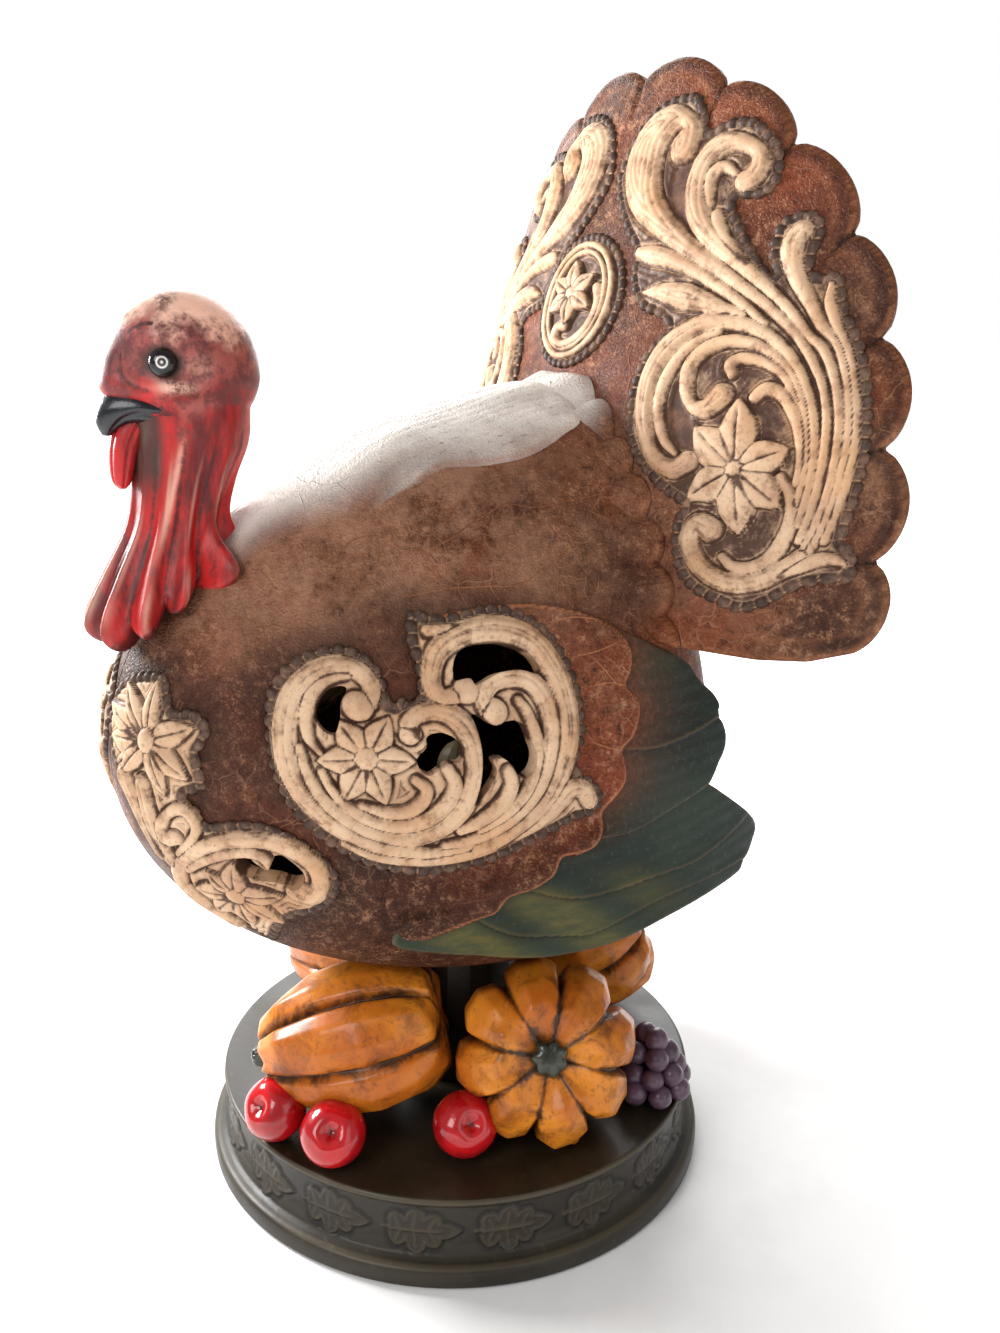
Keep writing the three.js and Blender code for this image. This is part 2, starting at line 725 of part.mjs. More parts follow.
// Feather groups of the wing, in Y and Z from the body's centre
const WING_TOP = [[-35, 47], [-24, 42], [-4, 33], [7, 27]];
const UPPER_TIPS = [[16, 15], [20, 7], [22, -3], [16, -15]];
const LOWER_TIPS = [[27, -23], [37, -34], [41, -42], [38, -52]];
const LOWER_EDGE = [[32, -59], [12, -65], [-14, -70], [-45, -71], [-74, -70], [-90, -64]];
const WING_SPLIT = [[-10, -29], [-35, -40]];
const WING_ROOT = [[-74, -50], [-47, -45]];
const COVERT_OVALS = [
  { centre: [-69, 6], half: [46, 58] },
  { centre: [-98, -6], half: [32, 42] },
];
const COVERT_FRONT = -100;

function wingLayer(inner, outer) {
  return skin(inner, outer, WING_REAR, WING_DOWN).subtract(egg(GAP));
}

function flight(points) {
  const places = points.map(([y, z]) => new THREE.Vector2(BODY_Y + y, BODY_Z + z));
  const prism = shapePrism('x', new THREE.Shape(places), BODY_HALF_WIDTH * 0.1, BODY_HALF_WIDTH * 2);
  return wingLayer(SKIN_GAP, SKIN_GAP + FLIGHT_THICKNESS).intersect(prism);
}

function upperFlight() {
  return flight([...WING_TOP, ...UPPER_TIPS, ...WING_SPLIT]);
}

function lowerFlight() {
  const split = [UPPER_TIPS.at(-1), ...WING_SPLIT].map(([y, z]) => [y, z - 1.5 * GAP]).reverse();
  return flight([...WING_ROOT, ...split, ...LOWER_TIPS, ...LOWER_EDGE]);
}

function covert() {
  const inner = SKIN_GAP + FLIGHT_THICKNESS + SKIN_GAP;
  const layer = wingLayer(inner, inner + COVERT_THICKNESS);
  const shaped = layer.intersect(ovals('x', COVERT_OVALS, 0)).subtract(ovals('x', SIDE_OVALS, GAP));
  return shaped.subtract(box(0, FAR, -FAR, BODY_Y + COVERT_FRONT, 0, FAR));
}

// Fan tail: the points between the rim's lobes, in X and in Z from the body's centre
const FAN_CUSPS = [
  [0, 226], [44, 219], [77, 197], [104, 168], [120, 136], [129, 102], [135, 67], [137, 38],
];

function fanFront(x, z) {
  const curve = FAN_RADIUS - Math.sqrt(FAN_RADIUS * FAN_RADIUS - x * x);
  return FAN_Y + (z - FAN_Z) * FAN_LEAN + curve;
}

// Rim points of one side from the top cusp down, each lobe a bow between two cusps
function rimSide() {
  const cusps = FAN_CUSPS.map(([x, z]) => new THREE.Vector2(x, BODY_Z + z));
  const rim = [];
  for (let i = 0; i + 1 < cusps.length; i++) {
    const chord = cusps[i + 1].clone().sub(cusps[i]);
    const out = new THREE.Vector2(-chord.y, chord.x).multiplyScalar(FAN_LOBE_BULGE);
    for (let j = 0; j < FAN_LOBE_STEPS; j++) {
      const t = j / FAN_LOBE_STEPS;
      const bow = 4 * t * (1 - t);
      rim.push(cusps[i].clone().addScaledVector(chord, t).addScaledVector(out, bow));
    }
  }
  rim.push(cusps.at(-1));
  return rim;
}

const leftRim = rimSide();
const rightRim = leftRim.slice(1).reverse().map((p) => new THREE.Vector2(-p.x, p.y));
const RIM = [...rightRim, ...leftRim];

// A point of the fan in X and Z: u runs along the rim, s from the lower edge out to it
function fanPlace(u, s) {
  const at = u * (RIM.length - 1);
  const i = Math.min(Math.floor(at), RIM.length - 2);
  const end = RIM[i].clone().lerp(RIM[i + 1], at - i);
  const start = new THREE.Vector2((2 * u - 1) * FAN_BOTTOM_HALF, FAN_BOTTOM_Z);
  return start.lerp(end, s);
}

// The fan's plate, with room left round it where grow is over zero
function fanSolid(grow) {
  const front = (u, s) => {
    const p = fanPlace(u, s);
    return v(p.x, fanFront(p.x, p.y) - grow, p.y);
  };
  const back = (u, s) => {
    const p = fanPlace(u, s);
    const thick = THREE.MathUtils.lerp(FAN_ROOT_THICKNESS, FAN_RIM_THICKNESS, s);
    return v(p.x, fanFront(p.x, p.y) + thick + grow, p.y);
  };
  return slab(front, back, RIM.length - 1, FAN_SPOKE_STEPS);
}

// A thin plate over the whole front of the fan
function fanLayer() {
  const at = (u, s, forward) => {
    const p = fanPlace(u, s);
    return v(p.x, fanFront(p.x, p.y) - forward, p.y);
  };
  const front = (u, s) => at(u, s, SKIN_GAP + FAN_PANEL_THICKNESS);
  const back = (u, s) => at(u, s, SKIN_GAP);
  return slab(front, back, 30, 6);
}

// Scrollwork panel of the fan's left half, in X and in Z from the body's centre
const FAN_PANEL = [
  [19, 216], [30, 217], [41, 209], [52, 206], [67, 202], [77, 189], [72, 179], [66, 175], [80, 158],
  [81, 172], [92, 174], [96, 156], [105, 155], [117, 131], [125, 110], [127, 80], [131, 61], [117, 56],
  [104, 46], [86, 51], [75, 65], [74, 78], [51, 92], [41, 109], [42, 129], [48, 137], [30, 148],
  [24, 162], [9, 178], [3, 190], [9, 209],
];

// Its main scrolls, from the curl to the root: X, Z from the body's centre and half width
const FAN_SCROLLS = [
  [
    [37, 203, 4], [31, 208, 4], [22, 205, 6.5], [17, 196, 8.5], [20, 187, 8.5], [33, 174, 5.5],
    [58, 160, 3.2], [88, 143, 2.2], [106, 125, 1.8], [114, 100, 1.7], [115, 71, 1.6],
  ],
  [
    [69, 188, 3.2], [65, 196, 2.8], [57, 198, 3.4], [49, 194, 4.6], [47, 184, 5], [53, 172, 4.6],
    [70, 160, 3], [94, 142, 2.1], [111, 123, 1.8], [118, 95, 1.8], [117, 69, 1.7],
  ],
  [
    [90, 168, 3.6], [88, 163, 4], [94, 152, 2.9], [105, 138, 2], [116, 119, 1.7], [121, 95, 1.8],
    [118, 68, 1.7],
  ],
  [[28, 163, 2], [35, 162, 3.4], [53, 157, 2.7], [80, 143, 1.8], [88, 138, 1.4]],
  [[36, 149, 1], [44, 149, 3.3], [54, 148, 4.6], [71, 143, 2.5], [80, 141, 1.6]],
  [
    [72, 92, 3.8], [66, 90, 3.4], [58, 95, 3.4], [51, 108, 4.2], [49, 119, 4.6], [53, 130, 4.6],
    [68, 139, 3.6], [88, 136, 2.3], [103, 122, 1.9], [111, 104, 1.7], [113, 76, 1.6],
  ],
  [
    [77, 113, 3.6], [71, 110, 2.8], [65, 117, 2.8], [66, 127, 3], [76, 133, 2.5], [92, 129, 1.9],
    [104, 115, 1.7], [111, 87, 1.6],
  ],
  [[90, 115, 2], [94, 118, 2.4], [101, 113, 2.3], [107, 102, 1.9], [110, 88, 1.6]],
  [
    [86, 72, 3.4], [81, 70, 3.2], [84, 62, 3.4], [92, 57, 3.5], [101, 56, 3.6], [111, 61, 3.1],
    [117, 67, 2.4],
  ],
  [[98, 61, 1.8], [105, 62, 2.5], [110, 69, 2.6], [111, 79, 2.2], [105, 91, 1.5]],
];

// Flowers on the fan: heart, and the tips of the petals, in X and in Z from the body's centre
const FAN_FLOWER = {
  heart: [90, 92],
  tips: [[85, 115], [105, 100], [107, 81], [98, 71], [77, 81], [73, 104]],
  petal: 4.2,
};
const MEDALLION_FLOWER = {
  heart: [0, 148],
  tips: [[-1, 161], [9, 154], [9, 143], [1, 136], [-8, 141], [-9, 153]],
  petal: 2.6,
};

function medallionPrism(grow) {
  const half = [MEDALLION_HALF_WIDTH + grow, MEDALLION_HALF_HEIGHT + grow];
  return ellipsePrism('y', [0, MEDALLION_Z], ...half, -FAR, FAR);
}

// A raised band on the fan's front through rows of X, Z from the body's centre and half width
function scroll(rows, rise) {
  const foot = SKIN_GAP + FAN_PANEL_THICKNESS / 2;
  const crest = SKIN_GAP + FAN_PANEL_THICKNESS + rise;
  const share = SCROLL_CREST_SHARE;
  const section = [[-1, foot], [-share, crest], [share, crest], [1, foot]];
  const spine = new THREE.CatmullRomCurve3(rows.map(([x, z, half]) => v(x, half, BODY_Z + z)));
  const steps = rows.length - 1;
  const rings = [];
  for (let i = 0; i <= steps; i++) {
    const p = spine.getPoint(i / steps);
    const along = spine.getTangent(i / steps);
    const across = new THREE.Vector2(-along.z, along.x).normalize();
    rings.push(section.map(([side, forward]) => {
      const x = p.x + across.x * side * p.y;
      const z = p.z + across.y * side * p.y;
      return v(x, fanFront(x, z) - forward, z);
    }));
  }
  return loft(rings);
}

// A round button on the fan's front, narrower at its crest
function button([x, z], radius, rise) {
  const levels = [
    { forward: SKIN_GAP + FAN_PANEL_THICKNESS / 2, size: radius },
    { forward: SKIN_GAP + FAN_PANEL_THICKNESS + rise, size: radius * SCROLL_CREST_SHARE },
  ];
  return loft(levels.map(({ forward, size }) => {
    const ring = [];
    for (let i = 0; i < FLOWER_HEART_SIDES; i++) {
      const turn = (i * 2 * Math.PI) / FLOWER_HEART_SIDES;
      const across = x + size * Math.cos(turn);
      const high = BODY_Z + z + size * Math.sin(turn);
      ring.push(v(across, fanFront(across, high) - forward, high));
    }
    return ring;
  }));
}

// Widths of a petal along it, from its root to its tip
const PETAL_ROWS = [
  { t: 0.1, share: 0.4 },
  { t: 0.5, share: 1 },
  { t: 0.75, share: 0.8 },
  { t: 1, share: 0.1 },
];

function flowerForms({ heart, tips, petal }) {
  const forms = [button(heart, petal, SCROLL_RISE)];
  for (const tip of tips) {
    const lerp = (i, t) => THREE.MathUtils.lerp(heart[i], tip[i], t);
    const rows = PETAL_ROWS.map(({ t, share }) => [lerp(0, t), lerp(1, t), petal * share]);
    forms.push(scroll(rows, FLOWER_RISE));
  }
  return forms;
}

function clearOfBody(solid) {
  return solid.subtract(egg(SKIN_GAP + SADDLE_THICKNESS + GAP));
}

function medallion() {
  const rim = [];
  for (let i = 0; i <= MEDALLION_RIM_STEPS; i++) {
    const turn = MEDALLION_RIM_START + (i * MEDALLION_RIM_TURN) / MEDALLION_RIM_STEPS;
    const x = MEDALLION_HALF_WIDTH * MEDALLION_RIM_SHARE * Math.cos(turn);
    const z = MEDALLION_RISE + MEDALLION_HALF_HEIGHT * MEDALLION_RIM_SHARE * Math.sin(turn);
    rim.push([x, z, MEDALLION_RIM_HALF]);
  }
  const plate = fanLayer().intersect(medallionPrism(0));
  const forms = [scroll(rim, MEDALLION_RIM_RISE), ...flowerForms(MEDALLION_FLOWER)];
  return clearOfBody(wasm.Manifold.union([plate, ...forms]));
}

function fanPanel() {
  const places = FAN_PANEL.map(([x, z]) => new THREE.Vector2(x, BODY_Z + z));
  const prism = shapePrism('y', new THREE.Shape(places), -FAR, FAR);
  const raised = FAN_SCROLLS.map((rows) => scroll(rows, SCROLL_RISE));
  const plate = wasm.Manifold.union([fanLayer(), ...raised, ...flowerForms(FAN_FLOWER)]);
  return clearOfBody(plate.intersect(prism).subtract(medallionPrism(2 * GAP)));
}

// Feathers over the back, from behind the neck to the fan
function saddle() {
  const layer = skin(SKIN_GAP, SKIN_GAP + SADDLE_THICKNESS);
  const plan = new THREE.Shape();
  plan.absellipse(0, BODY_Y - 10, SADDLE_HALF_WIDTH, SADDLE_HALF_LENGTH, 0, Math.PI * 2);
  const cape = layer.intersect(shapePrism('z', plan, BODY_Z + SADDLE_LOW, FAR));
  const behind = box(-FAR, FAR, FAN_Y + 6, FAR, 0, FAR);
  return cape.subtract(fanSolid(SKIN_GAP)).subtract(behind).subtract(neckSolid(GAP));
}

// Neck with the folds of the wattles: rise up the neck, step forward or back, half widths and fold depth
const NECK_RINGS = [
  { rise: 0, step: 0, half: [31, 28], fold: 0.1 },
  { rise: 0.17, step: -3, half: [27, 25.5], fold: 0.1 },
  { rise: 0.37, step: 0, half: [21, 22], fold: 0.08 },
  { rise: 0.56, step: 3, half: [16.5, 17], fold: 0.06 },
  { rise: 0.73, step: 5, half: [15, 17], fold: 0.06 },
  { rise: 0.88, step: 8, half: [16, 19], fold: 0.04 },
  { rise: 1, step: 9, half: [17, 20.5], fold: 0.02 },
];

function neckSolid(grow) {
  const sides = 3 * NECK_FOLDS;
  const rings = NECK_RINGS.map(({ rise, step, half, fold }) => {
    const ring = [];
    for (let i = 0; i < sides; i++) {
      const turn = (i * 2 * Math.PI) / sides;
      const swell = 1 + fold * Math.cos(NECK_FOLDS * (turn + Math.PI / 2));
      const x = (half[0] * swell + grow) * Math.cos(turn);
      const y = (half[1] * swell + grow) * Math.sin(turn);
      ring.push(v(x, NECK_Y + step + y, NECK_Z + rise * NECK_LENGTH));
    }
    return ring;
  });
  return loft(rings);
}

function headSolid() {
  const geometry = new THREE.SphereGeometry(1, 16, 10);
  geometry.scale(...HEAD_RADII.toArray());
  geometry.translate(...HEAD_CENTRE.toArray());
  let solid = toSolid(geometry);
  solid = solid.subtract(box(-FAR, FAR, -FAR, FAR, 0, NECK_TOP_Z + GAP));
  solid = solid.subtract(box(-FAR, FAR, -FAR, BEAK_PLANE_Y, 0, FAR));
  for (const side of [-1, 1]) {
    solid = solid.subtract(eyeSolid(side, GAP));
  }
  return solid;
}

function eyeSolid(side, grow) {
  const geometry = new THREE.SphereGeometry(EYE_RADIUS + grow, 10, 6);
  geometry.translate(side * EYE_CENTRE.x, EYE_CENTRE.y, EYE_CENTRE.z);
  return toSolid(geometry);
}

// An oval ring across the bird's middle plane, tipped forward by its lean
function ovalRing(y, z, halfX, halfAcross, lean) {
  const count = 12;
  const ring = [];
  for (let i = 0; i < count; i++) {
    const turn = (i * 2 * Math.PI) / count;
    const across = halfAcross * Math.sin(turn);
    ring.push(v(halfX * Math.cos(turn), y - across * Math.sin(lean), z + across * Math.cos(lean)));
  }
  return ring;
}

// Hooked beak in front of the head
function beak() {
  const y = BEAK_PLANE_Y - GAP;
  const z = HEAD_CENTRE.z;
  return loft([
    ovalRing(y, z - 5.5, 9.5, 8, 0),
    ovalRing(y - 3.5, z - 6.5, 8.2, 7.2, 0.25),
    ovalRing(y - 6.5, z - 10, 5.8, 5, 0.6),
    ovalRing(y - 7.8, z - 14.5, 3.2, 2.8, 1),
    ovalRing(y - 7.8, z - 18.4, 1, 0.9, 1.3),
  ]);
}

// Red flap hanging under the beak, clear of the neck behind it and of the head and beak above it
function snood() {
  const y = BEAK_PLANE_Y;
  const z = NECK_TOP_Z;
  const hang = loft([
    ovalRing(y + 3, z - 1, 6, 4, Math.PI / 2),
    ovalRing(y + 1, z - 7, 6.5, 5, Math.PI / 2),
    ovalRing(y - 1, z - 15, 6, 4.5, Math.PI / 2),
    ovalRing(y - 2, z - 21, 4.5, 3.4, Math.PI / 2),
    ovalRing(y - 2.5, z - 24, 2, 1.5, Math.PI / 2),
  ]);
  const beakRoom = box(-FAR, FAR, -FAR, y - GAP - 3, z - 8, FAR);
  return hang.subtract(neckSolid(GAP)).subtract(beakRoom);
}

// Finishes
function finish(color, roughness, metalness = 0) {
  return new THREE.MeshStandardMaterial({ color, roughness, metalness });
}

const FINISH = {
  leather: () => finish(0x63392a, 0.5),
  cream: () => finish(0xd9b88f, 0.6),
  feather: () => finish(0x2c3a33, 0.5),
  red: () => finish(0xb52a22, 0.35),
  flesh: () => finish(0xd08a70, 0.4),
  black: () => finish(0x141618, 0.3),
  orange: () => finish(0xc07a2a, 0.4),
  stem: () => finish(0x2c3022, 0.5),
  apple: () => finish(0xb01c20, 0.2),
  grape: () => finish(0x46343f, 0.4),
  plinth: () => finish(0x332c24, 0.5),
  plastic: () => finish(0x202020, 0.6),
  cell: () => finish(0xa08040, 0.35, 0.6),
  steel: () => finish(0xb0b0b0, 0.35, 1),
  lamp: () => finish(0xf2e6c8, 0.3),
  lead: () => finish(0x7a1c1c, 0.6),
};

const group = new THREE.Group();
group.name = 'thanksgiving_turkey';

function put(name, solid, look) {
  const mesh = new THREE.Mesh(toGeometry(solid), FINISH[look]());
  mesh.name = name;
  group.add(mesh);
}

function putPair(name, solid, look) {
  put(`${name}_left`, solid, look);
  put(`${name}_right`, mirrored(solid), look);
}

put('base_plinth', plinth(), 'plinth');
put('base_plate', basePlate(), 'plastic');
screwPlaces().forEach((place, i) => put(`plate_screw_${i + 1}`, screw(place), 'steel'));
put('battery_tray', batteryTray(), 'plastic');
for (let i = 0; i < CELL_COUNT; i++) {
  put(`battery_cell_${i + 1}`, cell(i), 'cell');
}
put('battery_contact_left', contact(1), 'steel');
put('battery_contact_right', contact(-1), 'steel');
put('battery_cover', batteryCover(), 'plastic');
put('switch_body', switchBody(), 'plastic');
put('switch_slider', switchSlider(), 'plastic');
put('lamp_post', lampPost(), 'plastic');
put('lamp_led', lamp(), 'lamp');
put('lamp_lead', lampLead(), 'lead');
put('pedestal', pedestal(), 'plinth');

Object.entries(FRUIT).forEach(([name, fruit], i) => {
  const earlier = Object.values(FRUIT).slice(0, i);
  put(name, clearOf(seated(ribbed(fruit, 0)), earlier), 'orange');
  put(`${name}_stem`, seated(stem(fruit, 9, fruit.radius * 0.13)), 'stem');
});
for (const [name, centre] of Object.entries(APPLES)) {
  put(name, clearOf(seated(apple(centre)), Object.values(FRUIT)), 'apple');
}
put('grapes_near', grapes(v(70, 52, DECK + 5)), 'grape');
put('grapes_far', grapes(v(-42, 73, DECK + 5)), 'grape');

putPair('body_shell', bodyHalf(), 'leather');
putPair('side_panel', sidePanel(), 'cream');
putPair('breast_panel', breastPanel(), 'cream');
putPair('wing_flight_upper', upperFlight(), 'feather');
putPair('wing_flight_lower', lowerFlight(), 'feather');
putPair('wing_covert', covert(), 'leather');
put('saddle_feathers', saddle(), 'leather');
put('tail_fan', fanSolid(0).subtract(egg(GAP)), 'leather');
putPair('fan_panel', fanPanel(), 'cream');
put('fan_medallion', medallion(), 'cream');
put('neck_wattles', neckSolid(0).subtract(egg(GAP)), 'red');
put('head', headSolid(), 'flesh');
put('beak', beak(), 'black');
put('snood', snood(), 'red');
put('eye_left', eyeSolid(1, 0), 'black');
put('eye_right', eyeSolid(-1, 0), 'black');

export default group;
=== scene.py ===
"""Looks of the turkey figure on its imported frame. Shapes are worked out in millimetres."""
import math

import bpy
import numpy as np
from mathutils import Matrix, Vector


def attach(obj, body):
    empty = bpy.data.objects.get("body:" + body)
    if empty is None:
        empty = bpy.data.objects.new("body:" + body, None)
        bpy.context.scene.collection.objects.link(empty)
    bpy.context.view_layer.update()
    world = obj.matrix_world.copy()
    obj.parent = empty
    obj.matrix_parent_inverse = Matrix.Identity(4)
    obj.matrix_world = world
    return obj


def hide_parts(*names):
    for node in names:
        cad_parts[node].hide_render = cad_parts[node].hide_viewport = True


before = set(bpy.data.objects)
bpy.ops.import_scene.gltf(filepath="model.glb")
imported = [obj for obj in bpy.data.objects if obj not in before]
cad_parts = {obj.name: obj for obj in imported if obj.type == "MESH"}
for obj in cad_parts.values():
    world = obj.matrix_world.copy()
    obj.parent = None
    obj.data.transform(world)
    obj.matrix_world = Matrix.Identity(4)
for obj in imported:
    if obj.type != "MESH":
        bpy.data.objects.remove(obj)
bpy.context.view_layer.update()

MM = 0.001  # m


# Numbers and curves.

def smooth(low, high, x):
    t = np.clip((x - low) / (high - low), 0, 1)
    return t * t * (3 - 2 * t)


def dome(q):
    return np.sqrt(np.clip(1 - q * q, 0, 1))


def bell(x, wide):
    return np.exp(-(x / wide) ** 2)


def unit(v):
    return v / np.linalg.norm(v, axis=-1, keepdims=True)


def full_turn(count):
    """Evenly spaced angles once round."""
    return np.linspace(0, 2 * np.pi, count, endpoint=False)


def around(turn, side, up):
    """Directions at the given angles in the plane of side and up."""
    return np.cos(turn)[:, None] * side + np.sin(turn)[:, None] * up


def axes_of(axis):
    """An axis as a unit vector, and two directions square to it."""
    axis = unit(np.array(axis, float))
    side = unit(np.cross(axis, (0, 0, 1.0)))
    return axis, side, np.cross(side, axis)


def curve(points, per=6, closed=False):
    """A smooth line through the rows of points."""
    p = np.asarray(points, float)
    if closed:
        p = np.vstack([p[-1:], p, p[:2]])
    else:
        p = np.vstack([2 * p[:1] - p[1:2], p, 2 * p[-1:] - p[-2:-1]])
    t = np.linspace(0, 1, per, endpoint=False)[:, None]
    rows = []
    for a, b, c, d in zip(p[:-3], p[1:-2], p[2:-1], p[3:]):
        rows.append(0.5 * (2 * b + (c - a) * t + (2 * a - 5 * b + 4 * c - d) * t**2
                           + (3 * b - a - 3 * c + d) * t**3))
    if not closed:
        rows.append(p[-2:-1])
    return np.vstack(rows)


def widen(points, widths):
    """Points of a band with half-widths spread along it."""
    p = np.asarray(points, float)
    run = np.concatenate([[0], np.cumsum(np.hypot(*np.diff(p[:, :2], axis=0).T))])
    w = np.interp(run / run[-1], np.linspace(0, 1, len(widths)), widths)
    return np.column_stack([p, w])


def stretches(X, Y, line):
    """Each straight stretch of a line, the points' offsets from its start and their share along it."""
    for a, b in zip(line[:-1], line[1:]):
        e = b[:2] - a[:2]
        size = math.hypot(*e)
        if size > 1e-9:
            rx, ry = X - a[0], Y - a[1]
            yield a, b, e, size, rx, ry, np.clip((rx * e[0] + ry * e[1]) / size**2, 0, 1)


def along(X, Y, line):
    """Distance to a line, the place along it, and the side (above 0 is left of it)."""
    best, place, side = np.full(X.shape, 1e12), np.zeros(X.shape), np.zeros(X.shape)
    start = 0.0
    for _, _, e, size, rx, ry, t in stretches(X, Y, line):
        d = (rx - t * e[0]) ** 2 + (ry - t * e[1]) ** 2
        nearer = d < best
        best = np.where(nearer, d, best)
        place = np.where(nearer, start + t * size, place)
        side = np.where(nearer, e[0] * ry - e[1] * rx, side)
        start += size
    return np.sqrt(best), place, side


def outline(X, Y, ring):
    """Signed distance to a closed line, below 0 inside, the place along it and its length."""
    loop = np.vstack([ring, ring[:1]])
    d, place, _ = along(X, Y, loop)
    inside = np.zeros(X.shape, bool)
    for a, b in zip(loop[:-1], loop[1:]):
        if a[1] == b[1]:
            continue
        cross = (a[1] > Y) != (b[1] > Y)
        inside ^= cross & (X < a[0] + (Y - a[1]) * (b[0] - a[0]) / (b[1] - a[1]))
    return np.where(inside, -d, d), place, np.hypot(*np.diff(loop, axis=0).T).sum()


def signed(X, Y, ring):
    return outline(X, Y, ring)[0]


def within(ring):
    return lambda X, Y: signed(X, Y, ring)


def rolled(d, wide):
    """1 inside an outline, falling to 0 at its edge in a quarter round."""
    return dome(np.clip((d + wide) / wide, 0, 1))


# Relief of the tooled ornament: each form gives its height, how far inside its edge a point is,
# and how much dark wash lies on it.

def band(X, Y, rows, top=2.4, base=1.3, per=5):
    line = curve(rows, per)
    q, wide = np.full(X.shape, -9.0), np.ones(X.shape)
    for a, b, e, _, rx, ry, t in stretches(X, Y, line):
        w = np.maximum(a[2] + (b[2] - a[2]) * t, 0.3)
        near = 1 - np.hypot(rx - t * e[0], ry - t * e[1]) / w
        better = near > q
        q, wide = np.where(better, near, q), np.where(better, w, wide)
    edge, slope = q * wide, 1 - np.clip(q, 0, 1)
    rise = np.minimum(top, 0.45 * wide + 0.5) * (1 - slope ** 2.4)
    scored = bell((edge - 0.2) % 2.4 - 1.2, 0.42) * smooth(2.5, 3.5, wide) * (edge > 0.6)
    wash = np.maximum(0.42 * scored, 0.4 * slope ** 1.4)
    return np.where(q > 0, base * smooth(0, 0.5, edge) + rise - 0.4 * scored, 0), edge, wash


def ball(X, Y, centre, radius, base=1.3, tall=0.85):
    d = np.hypot(X - centre[0], Y - centre[1])
    return np.where(d < radius, base + radius * tall * dome(d / radius), 0), radius - d, 0


def petal(X, Y, centre, tip, wide, top=2.0, base=1.2, full=0.75):
    axis = np.subtract(tip, centre)
    size = math.hypot(*axis)
    rx, ry = X - centre[0], Y - centre[1]
    t = (rx * axis[0] + ry * axis[1]) / size**2
    held, between = np.clip(t, 0, 1), (t > 0) & (t < 1)
    across = (rx * axis[1] - ry * axis[0]) / size
    w = np.maximum(wide * np.clip(np.sin(np.pi * held ** full), 0, 1) ** 0.8, 1e-6)
    q = np.where(between, 1 - np.abs(across) / w, -1)
    slope = 1 - np.clip(q, 0, 1)
    crease = bell(across, 0.5) * smooth(0.05, 0.2, t) * smooth(0.95, 0.75, t)
    rise = top * (0.4 + 0.6 * np.sin(np.pi * held)) * dome(slope)
    off = np.hypot(rx - held * axis[0], ry - held * axis[1])
    edge = np.where(between, w - np.abs(across), -off)
    wash = np.maximum(0.75 * crease, 0.35 * slope ** 1.6)
    return np.where(q > 0, base + rise - 0.8 * crease, 0), edge, wash


def flower(X, Y, centre, tips, wide, heart, **style):
    forms = [petal(X, Y, centre, tip, wide, **style) for tip in tips]
    return forms + [ball(X, Y, centre, heart, base=1.8, tall=0.5)]


def compose(forms, shape, hollow=0.0):
    """Height, dark wash and raised ground of forms laid over one another, with hollows as dark as asked."""
    top, second, ink = np.zeros(shape), np.zeros(shape), np.zeros(shape)
    inside = np.full(shape, -9.0)
    for height, edge, wash in forms:
        higher = height > top
        ink = np.where(higher, wash, ink)
        second = np.maximum(second, np.minimum(top, height))
        top = np.maximum(top, height)
        inside = np.maximum(inside, edge)
    valley = smooth(0.6, 0.05, top - second) * (second > 0)
    strokes = bell(-inside % 2.3 - 0.4, 0.36) * (inside < -0.6)
    floor = np.maximum(0.85 * smooth(-0.9, -0.2, inside), 0.1 + 0.5 * strokes)
    floor = np.maximum(floor, hollow * smooth(-0.4, -1.2, inside))
    rim = np.where(inside > 0, 0.85 * smooth(0.75, 0.1, inside), floor)
    ground = smooth(0.1, -1.0, inside) * (1.1 - 0.5 * strokes)
    return top, np.maximum(np.maximum(ink, valley * 0.8), rim), ground


def beads(d, place, total, pitch, wide):
    """Stamped border along an outline: bead height, notches in the edge, and nearness to a gap."""
    step = total / round(total / pitch)
    phase = (place / step) % 1 - 0.5
    q = np.hypot(phase * 2 / 0.96, (d + wide * 0.48) / (wide * 0.5))
    return dome(q), wide * 0.34 * np.abs(2 * phase) ** 4, np.abs(phase * 2)


# Meshes.

class Shape:
    """Points in mm, faces and point fields of one piece while it is put together."""

    def __init__(self):
        self.points, self.faces, self.fields = np.zeros((0, 3)), [], {}

    def add(self, points, faces, **fields):
        start, count = len(self.points), len(points)
        self.points = np.vstack([self.points, points])
        self.faces += [(np.asarray(array) + start, soft) for array, soft in faces if len(array)]
        for name in set(self.fields) | set(fields):
            old = self.fields.get(name, np.zeros(start))
            self.fields[name] = np.concatenate([old, np.broadcast_to(fields.get(name, 0.0), count)])
        return self


